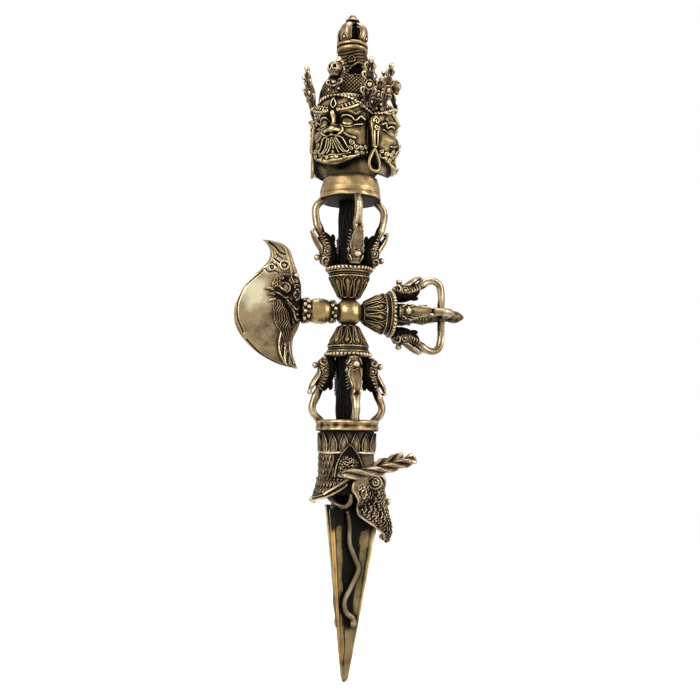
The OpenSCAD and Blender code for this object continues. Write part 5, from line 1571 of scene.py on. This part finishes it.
WELTS = [
    ([(16.6, 35.2), (11.3, 33.4), (8.9, 31), (7.4, 26), (5.7, 20), (6.1, 15)], 0.7, 0.5),
    ([(18.3, 33.6), (15.9, 29), (16.3, 25.6), (18.3, 21.6)], 0.6, 0.4),
    ([(10.4, -12), (11.5, -18), (10.8, -23), (8.5, -27.4)], 0.6, 0.7),
    ([(7.2, -12), (8.5, -20), (8.3, -26), (6.6, -29.6)], 0.6, 0.8),
    ([(6.2, -17), (5.3, -23), (3.4, -27.6)], 0.6, 0.8),
]


def axe_relief(u, v):
    """Engraved grooves, raised welts, bars and eyes, and soft dents on a side of the axe."""
    rise = 0 * u + 0.12 * uneven(np.stack([u, 0 * u, v], -1).reshape(-1, 3), 11, 6).reshape(u.shape)
    rise += carved(u, v, WELTS, 6) - carved(u, v, GROOVES, 6)
    for x, y, size in ((15.9, 21.6, 1.5), (9.4, 23.1, 2.2)):
        far = np.hypot(u - x, v - y)
        rise += 0.5 * ridge(far - size, 0.5) + 0.9 * ridge(far + 0.2 * size, size * 0.7)
        rise -= hump(far, size * 0.8)
    for x, y in ((9.2, -21.4), (6.6, -25)):
        rise -= 0.7 * drawn(u, v, [(x, y + 2.4), (x + 0.2, y - 2.4)], 0.7)
    return rise


v = np.sort(np.r_[np.linspace(-0.925, 1.085, 200), np.linspace(1.0, 1.085, 12)])
edge, spine = (curve(np.c_[side, LEVELS], 400) for side in (CUTTING, SPINE))
left = np.interp(v, edge[:, 1], edge[:, 0])[:, None] * AXE_W
right = np.interp(v, spine[:, 1], spine[:, 0])[:, None] * AXE_W
t = 0.5 - 0.5 * np.cos(np.linspace(0.0, np.pi, 126))[None, :]
u = right + (left - right) * t
v = AXE_HALF_H * v[:, None] + 0 * u
bow = np.minimum(0.4 + (AXE_T / 2 - 0.4) * (1 - (u / AXE_W) ** 2),
                 0.4 + (AXE_T / 2 - 0.4) * (1 - (v / 39.6) ** 2))
side_y = (bow + np.clip(axe_relief(u, v), -0.9, 0.9)) * cut(12 * np.minimum(t, 1 - t)) ** 0.5
axe = shell(*(np.stack([-AXE_X - u, y, HUB_Z + v], -1) for y in (-side_y, side_y)))


def axe_highlight_and_shade(p):
    """A painted highlight behind the cutting edge, and painted shade on the lower half."""
    return 0.08 * (p[:, 2] < HUB_Z - 2) - 0.4 * hump(np.hypot(p[:, 0] + AXE_X + 24, p[:, 2] - HUB_Z - 9), 9)


cast("crescent_axe_blade", axe, axe_brass, "axe_brass", "axe_blade", shade_and_soot=axe_highlight_and_shade)
print("axe from the axis", round(AXE_X, 1))

# %% [markdown]
# A beast's mask bites the axe on both sides: a muzzle with spiral nostrils,
# three fangs towards the cutting edge, a wide almond eye, an open beak behind
# it, and a dark wavy mane that thins out towards the heel.

# %% Mask
MASK_MID = (7.8, 2.0)
MASK_EDGE = [(2.2, 17.4), (5.6, 18.4), (9.8, 18.6), (13.4, 17.4), (15.4, 14), (15.6, 10.6), (14.8, 6),
             (15.2, 2), (14.6, -3), (13.6, -8), (10.8, -12), (8.8, -16.5), (7.8, -19.4), (6.6, -17),
             (5.2, -12.4), (2.6, -8.6), (0.4, -5.4), (0.4, 2), (0.4, 9), (0.8, 14)]
MASK_LINES = [
    ([(15.7, 10.4), (13.2, 11.4), (10.8, 9.4), (8.5, 8), (7, 10.6), (8.5, 13), (10.8, 13)], 0.55, 1.1),
    ([(15.1, 8.6), (12.9, 7.6), (9.8, 5.4), (8.1, 5.6)], 0.5, 1.0),
    ([(6.4, 4.6), (4.9, 7.4), (3.4, 10.2), (1.5, 8), (2.1, 5.6), (3.8, 4.4)], 0.5, 1.0),
    ([(7, 5), (5.3, 8.6), (4, 12.4), (1.9, 12)], 0.45, 0.8),
    ([(8.5, 4.2), (6.2, 2), (3.4, -0.4), (1.7, 1.4)], 0.5, 1.3),
    ([(7.9, 2.6), (5.3, -1.4), (3.2, -5.6), (1.5, -5)], 0.5, 1.1),
    ([(5.7, 1), (4.2, -2.4), (2.5, -3)], 0.5, 0.9),
    ([(6, 17), (4.9, 13.6), (4.5, 10.6)], 0.5, 0.7),
]


MASK_LUMPS = [(4.2, 7.2, 1.5, 1, 2.3, 1.5), (8.8, 10.6, 1, 0.8, 2.0, 1.5), (11.8, 12.4, 1, 1, 1.6, 0.8),
              (6.2, 14.6, 1.6, 1, 2.4, 0.7), (2.6, -1.8, 1.6, 1, 1.9, 0.7)]
MASK_CURLS = [(13.2, 15.2, 2.0), (14.4, 12.6, 1.7), (11.2, 16.2, 1.5), (14.4, -7.4, 1.6), (3.4, 14.6, 1.3)]


def mask_relief(u, v, f):
    """Height of the mask over the plate: a mound that falls with f towards its edge, then its features."""
    rise = 3.4 * cut(1 - f**2) ** 0.6 + 1.8 * hump(np.hypot(u - 10, v - 9.5), 3.4)
    for x, y, wide, tall, size, high in MASK_LUMPS:
        rise += high * ridge(np.hypot((u - x) * wide, (v - y) * tall), size)
    rise -= hump(np.hypot(u - 3.9, v - 7), 0.7)
    for x, y, size in MASK_CURLS:
        rise += drawn(u, v, curl(x, y, size, 1.4, 90, -1, 24), 0.42)
        rise += 0.5 * hump(np.hypot(u - x, v - y), size)
    rise += carved(u, v, MASK_LINES, 5)
    locks = 0.6 * np.abs(np.sin(2.6 * (u + 0.6 * np.sin(0.8 * v) + 0.16 * v))) - 0.38
    mane = cut((4.5 - v) / 2) * cut((u - 6.0 - 0.12 * v) / 1.5)
    rise += mane * locks * 1.3
    rise -= 1.0 * hump(near(u, v, curve([(16, 6.4), (11, 5), (9.6, 2.4), (7, -1.6), (5.6, -8)], 20)), 0.7)
    return rise * np.clip(1.04 - f**8, 0.12, 1) + 0.35


outline = curve(MASK_EDGE + MASK_EDGE[:1], 221)[:-1] - MASK_MID
f = np.linspace(0.004, 1, 78)[:, None] ** 0.8
u = MASK_MID[0] + f * outline[None, :, 0]
v = MASK_MID[1] + f * outline[None, :, 1]
PLATE_Y = AXE_T / 2 + 0.15
top = np.stack([-AXE_X - np.maximum(u, 0.2), -PLATE_Y - mask_relief(u, v, f), HUB_Z + v], -1)
foot = top[-1:] * (1, 0, 1) + (0, -PLATE_Y + 0.6, 0)
mask = closed(np.concatenate([top, foot]))
FANGS = [((13.4, 9.6), (17.2, 10.6), (19.6, 9.9)), ((13.6, 7.6), (16.4, 7.8), (18.2, 6.8)),
         ((13.6, 5), (16, 4.6), (17.6, 3.4))]
fangs = []
for line in FANGS:
    path = curve([(-AXE_X - u, -PLATE_Y - 0.5 + 0.25 * i, HUB_Z + v) for i, (u, v) in enumerate(line)], 26)
    taper = np.linspace(1.25, 0.25, 26)
    fangs.append(swept(path, taper, taper * 0.75, (0, 1, 0), 16))
fangs.append(ball((-AXE_X - 3.2, -PLATE_Y - 0.6, HUB_Z + 17.6), 1.5, 16, 9))
mask_side = together([mask] + fangs)
both = together([mask_side, moved(mask_side, np.diag([1.0, -1, 1]))])
cast("beast_mask_on_axe", both, relief_brass, "relief_brass", "axe_mask")

# %% [markdown]
# Four pieces are plain turned or cast forms, so they keep the imported mesh and
# only get a finish: the neck, the barrel and the stud of the axe arm, and the
# rod inside the finial. The nodes that have a dressed piece get a plain one.

# %% Imported pieces that keep their shape
# The neck is drawn nearly black: painted shade under the overhanging chin.
neck_shade_brass = cast_brass("shaded_neck_brass", "#a8905f", "#54472e", SOOT_AND_SHADE, -0.1, 0.4, 0.4, carved=False)
KEPT = {"neck": neck_shade_brass, "axe_barrel": rubbed_brass, "axe_stud": plain_black_brass,
        "finial_core": plain_black_brass}
plain_relief = cast_brass("plain_relief_brass", "#cbb998", "#6c5940", SOOT_AND_SHADE, -0.12, 0.3, 0.3, carved=False)
for node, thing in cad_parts.items():
    thing.data.materials.clear()
    thing.data.materials.append(KEPT.get(node, plain_relief))
print("kept", len(KEPT))

# %% [markdown]
# The floor is pale and plain and fades to the white backdrop. Large soft lamps
# stand left, right and above, as in a product tent; the world fills in. What
# camera and metal see of the world is white.

# %% Floor, lamps and world
PAPER_GRAIN = 1.2    # mm between the flecks of the paper
WORLD_FILL = 0.55    # how bright the white tent lights the piece; it looks pure white itself
paper, tree = new_material("pale_paper_floor")
place = add(tree, "ShaderNodeTexCoord").outputs["Object"]
away = add(tree, "ShaderNodeVectorMath", {0: place}, operation="LENGTH")
fade = ranged(tree, away.outputs["Value"], 0.15, 0.75, 0.0, 1.0)
tint = ranged(tree, noise(tree, place, PAPER_GRAIN, 2.0), 0.0, 1.0, 0.93, 0.97)
tone = add(tree, "ShaderNodeCombineColor", {0: tint, 1: tint, 2: tint})
matt = add(tree, "ShaderNodeBsdfDiffuse", {"Color": tone.outputs["Color"], "Roughness": 1.0})
white = add(tree, "ShaderNodeEmission", {"Color": (1, 1, 1, 1), "Strength": 1.0})
mixed = add(tree, "ShaderNodeMixShader", {0: fade, 1: matt.outputs[0], 2: white.outputs[0]})
add(tree, "ShaderNodeOutputMaterial", {"Surface": mixed.outputs[0]})

floor_mesh = bpy.data.meshes.new("paper_floor")
floor_mesh.from_pydata([(-4, -4, 0), (4, -4, 0), (4, 4, 0), (-4, 4, 0)], [], [(0, 1, 2, 3)])
floor_mesh.materials.append(paper)
floor = bpy.data.objects.new("paper_floor", floor_mesh)
bpy.context.collection.objects.link(floor)


def soft_lamp(name, place, target, size, power):
    """A square soft lamp at a place in metres that faces a target."""
    data = bpy.data.lights.new(name, "AREA")
    data.size, data.energy = size, power
    lamp = bpy.data.objects.new(name, data)
    z = unit(np.array(place, float) - np.array(target, float))
    x = unit(np.cross((0, 0, 1.0), z))
    rows = zip(np.array([x, np.cross(z, x), z]).T, place)
    lamp.matrix_world = Matrix([[*row, p] for row, p in rows] + [[0, 0, 0, 1]])
    bpy.context.collection.objects.link(lamp)


soft_lamp("left_lamp", (-0.95, -0.75, 0.75), (0, 0, 0.2), 0.9, 14)
soft_lamp("right_lamp", (0.85, -0.75, 0.55), (0, 0, 0.2), 0.7, 9)
soft_lamp("top_lamp", (0.1, 0.1, 1.3), (0, 0, 0.2), 0.6, 9)

world = bpy.data.worlds.new("white_tent")
bpy.context.scene.world = world
world.use_nodes = True
tree = world.node_tree
tree.nodes.clear()
ray = add(tree, "ShaderNodeLightPath").outputs
seen = reckon(tree, "MAXIMUM", ray["Is Camera Ray"], ray["Is Glossy Ray"])
seen = reckon(tree, "MAXIMUM", seen, ray["Is Transmission Ray"])
glow = ranged(tree, seen, 0.0, 1.0, WORLD_FILL, 1.0)
sky = add(tree, "ShaderNodeBackground", {"Color": (1, 1, 1, 1), "Strength": glow})
add(tree, "ShaderNodeOutputWorld", {"Surface": sky.outputs[0]})
bpy.context.scene.view_settings.view_transform = "Standard"
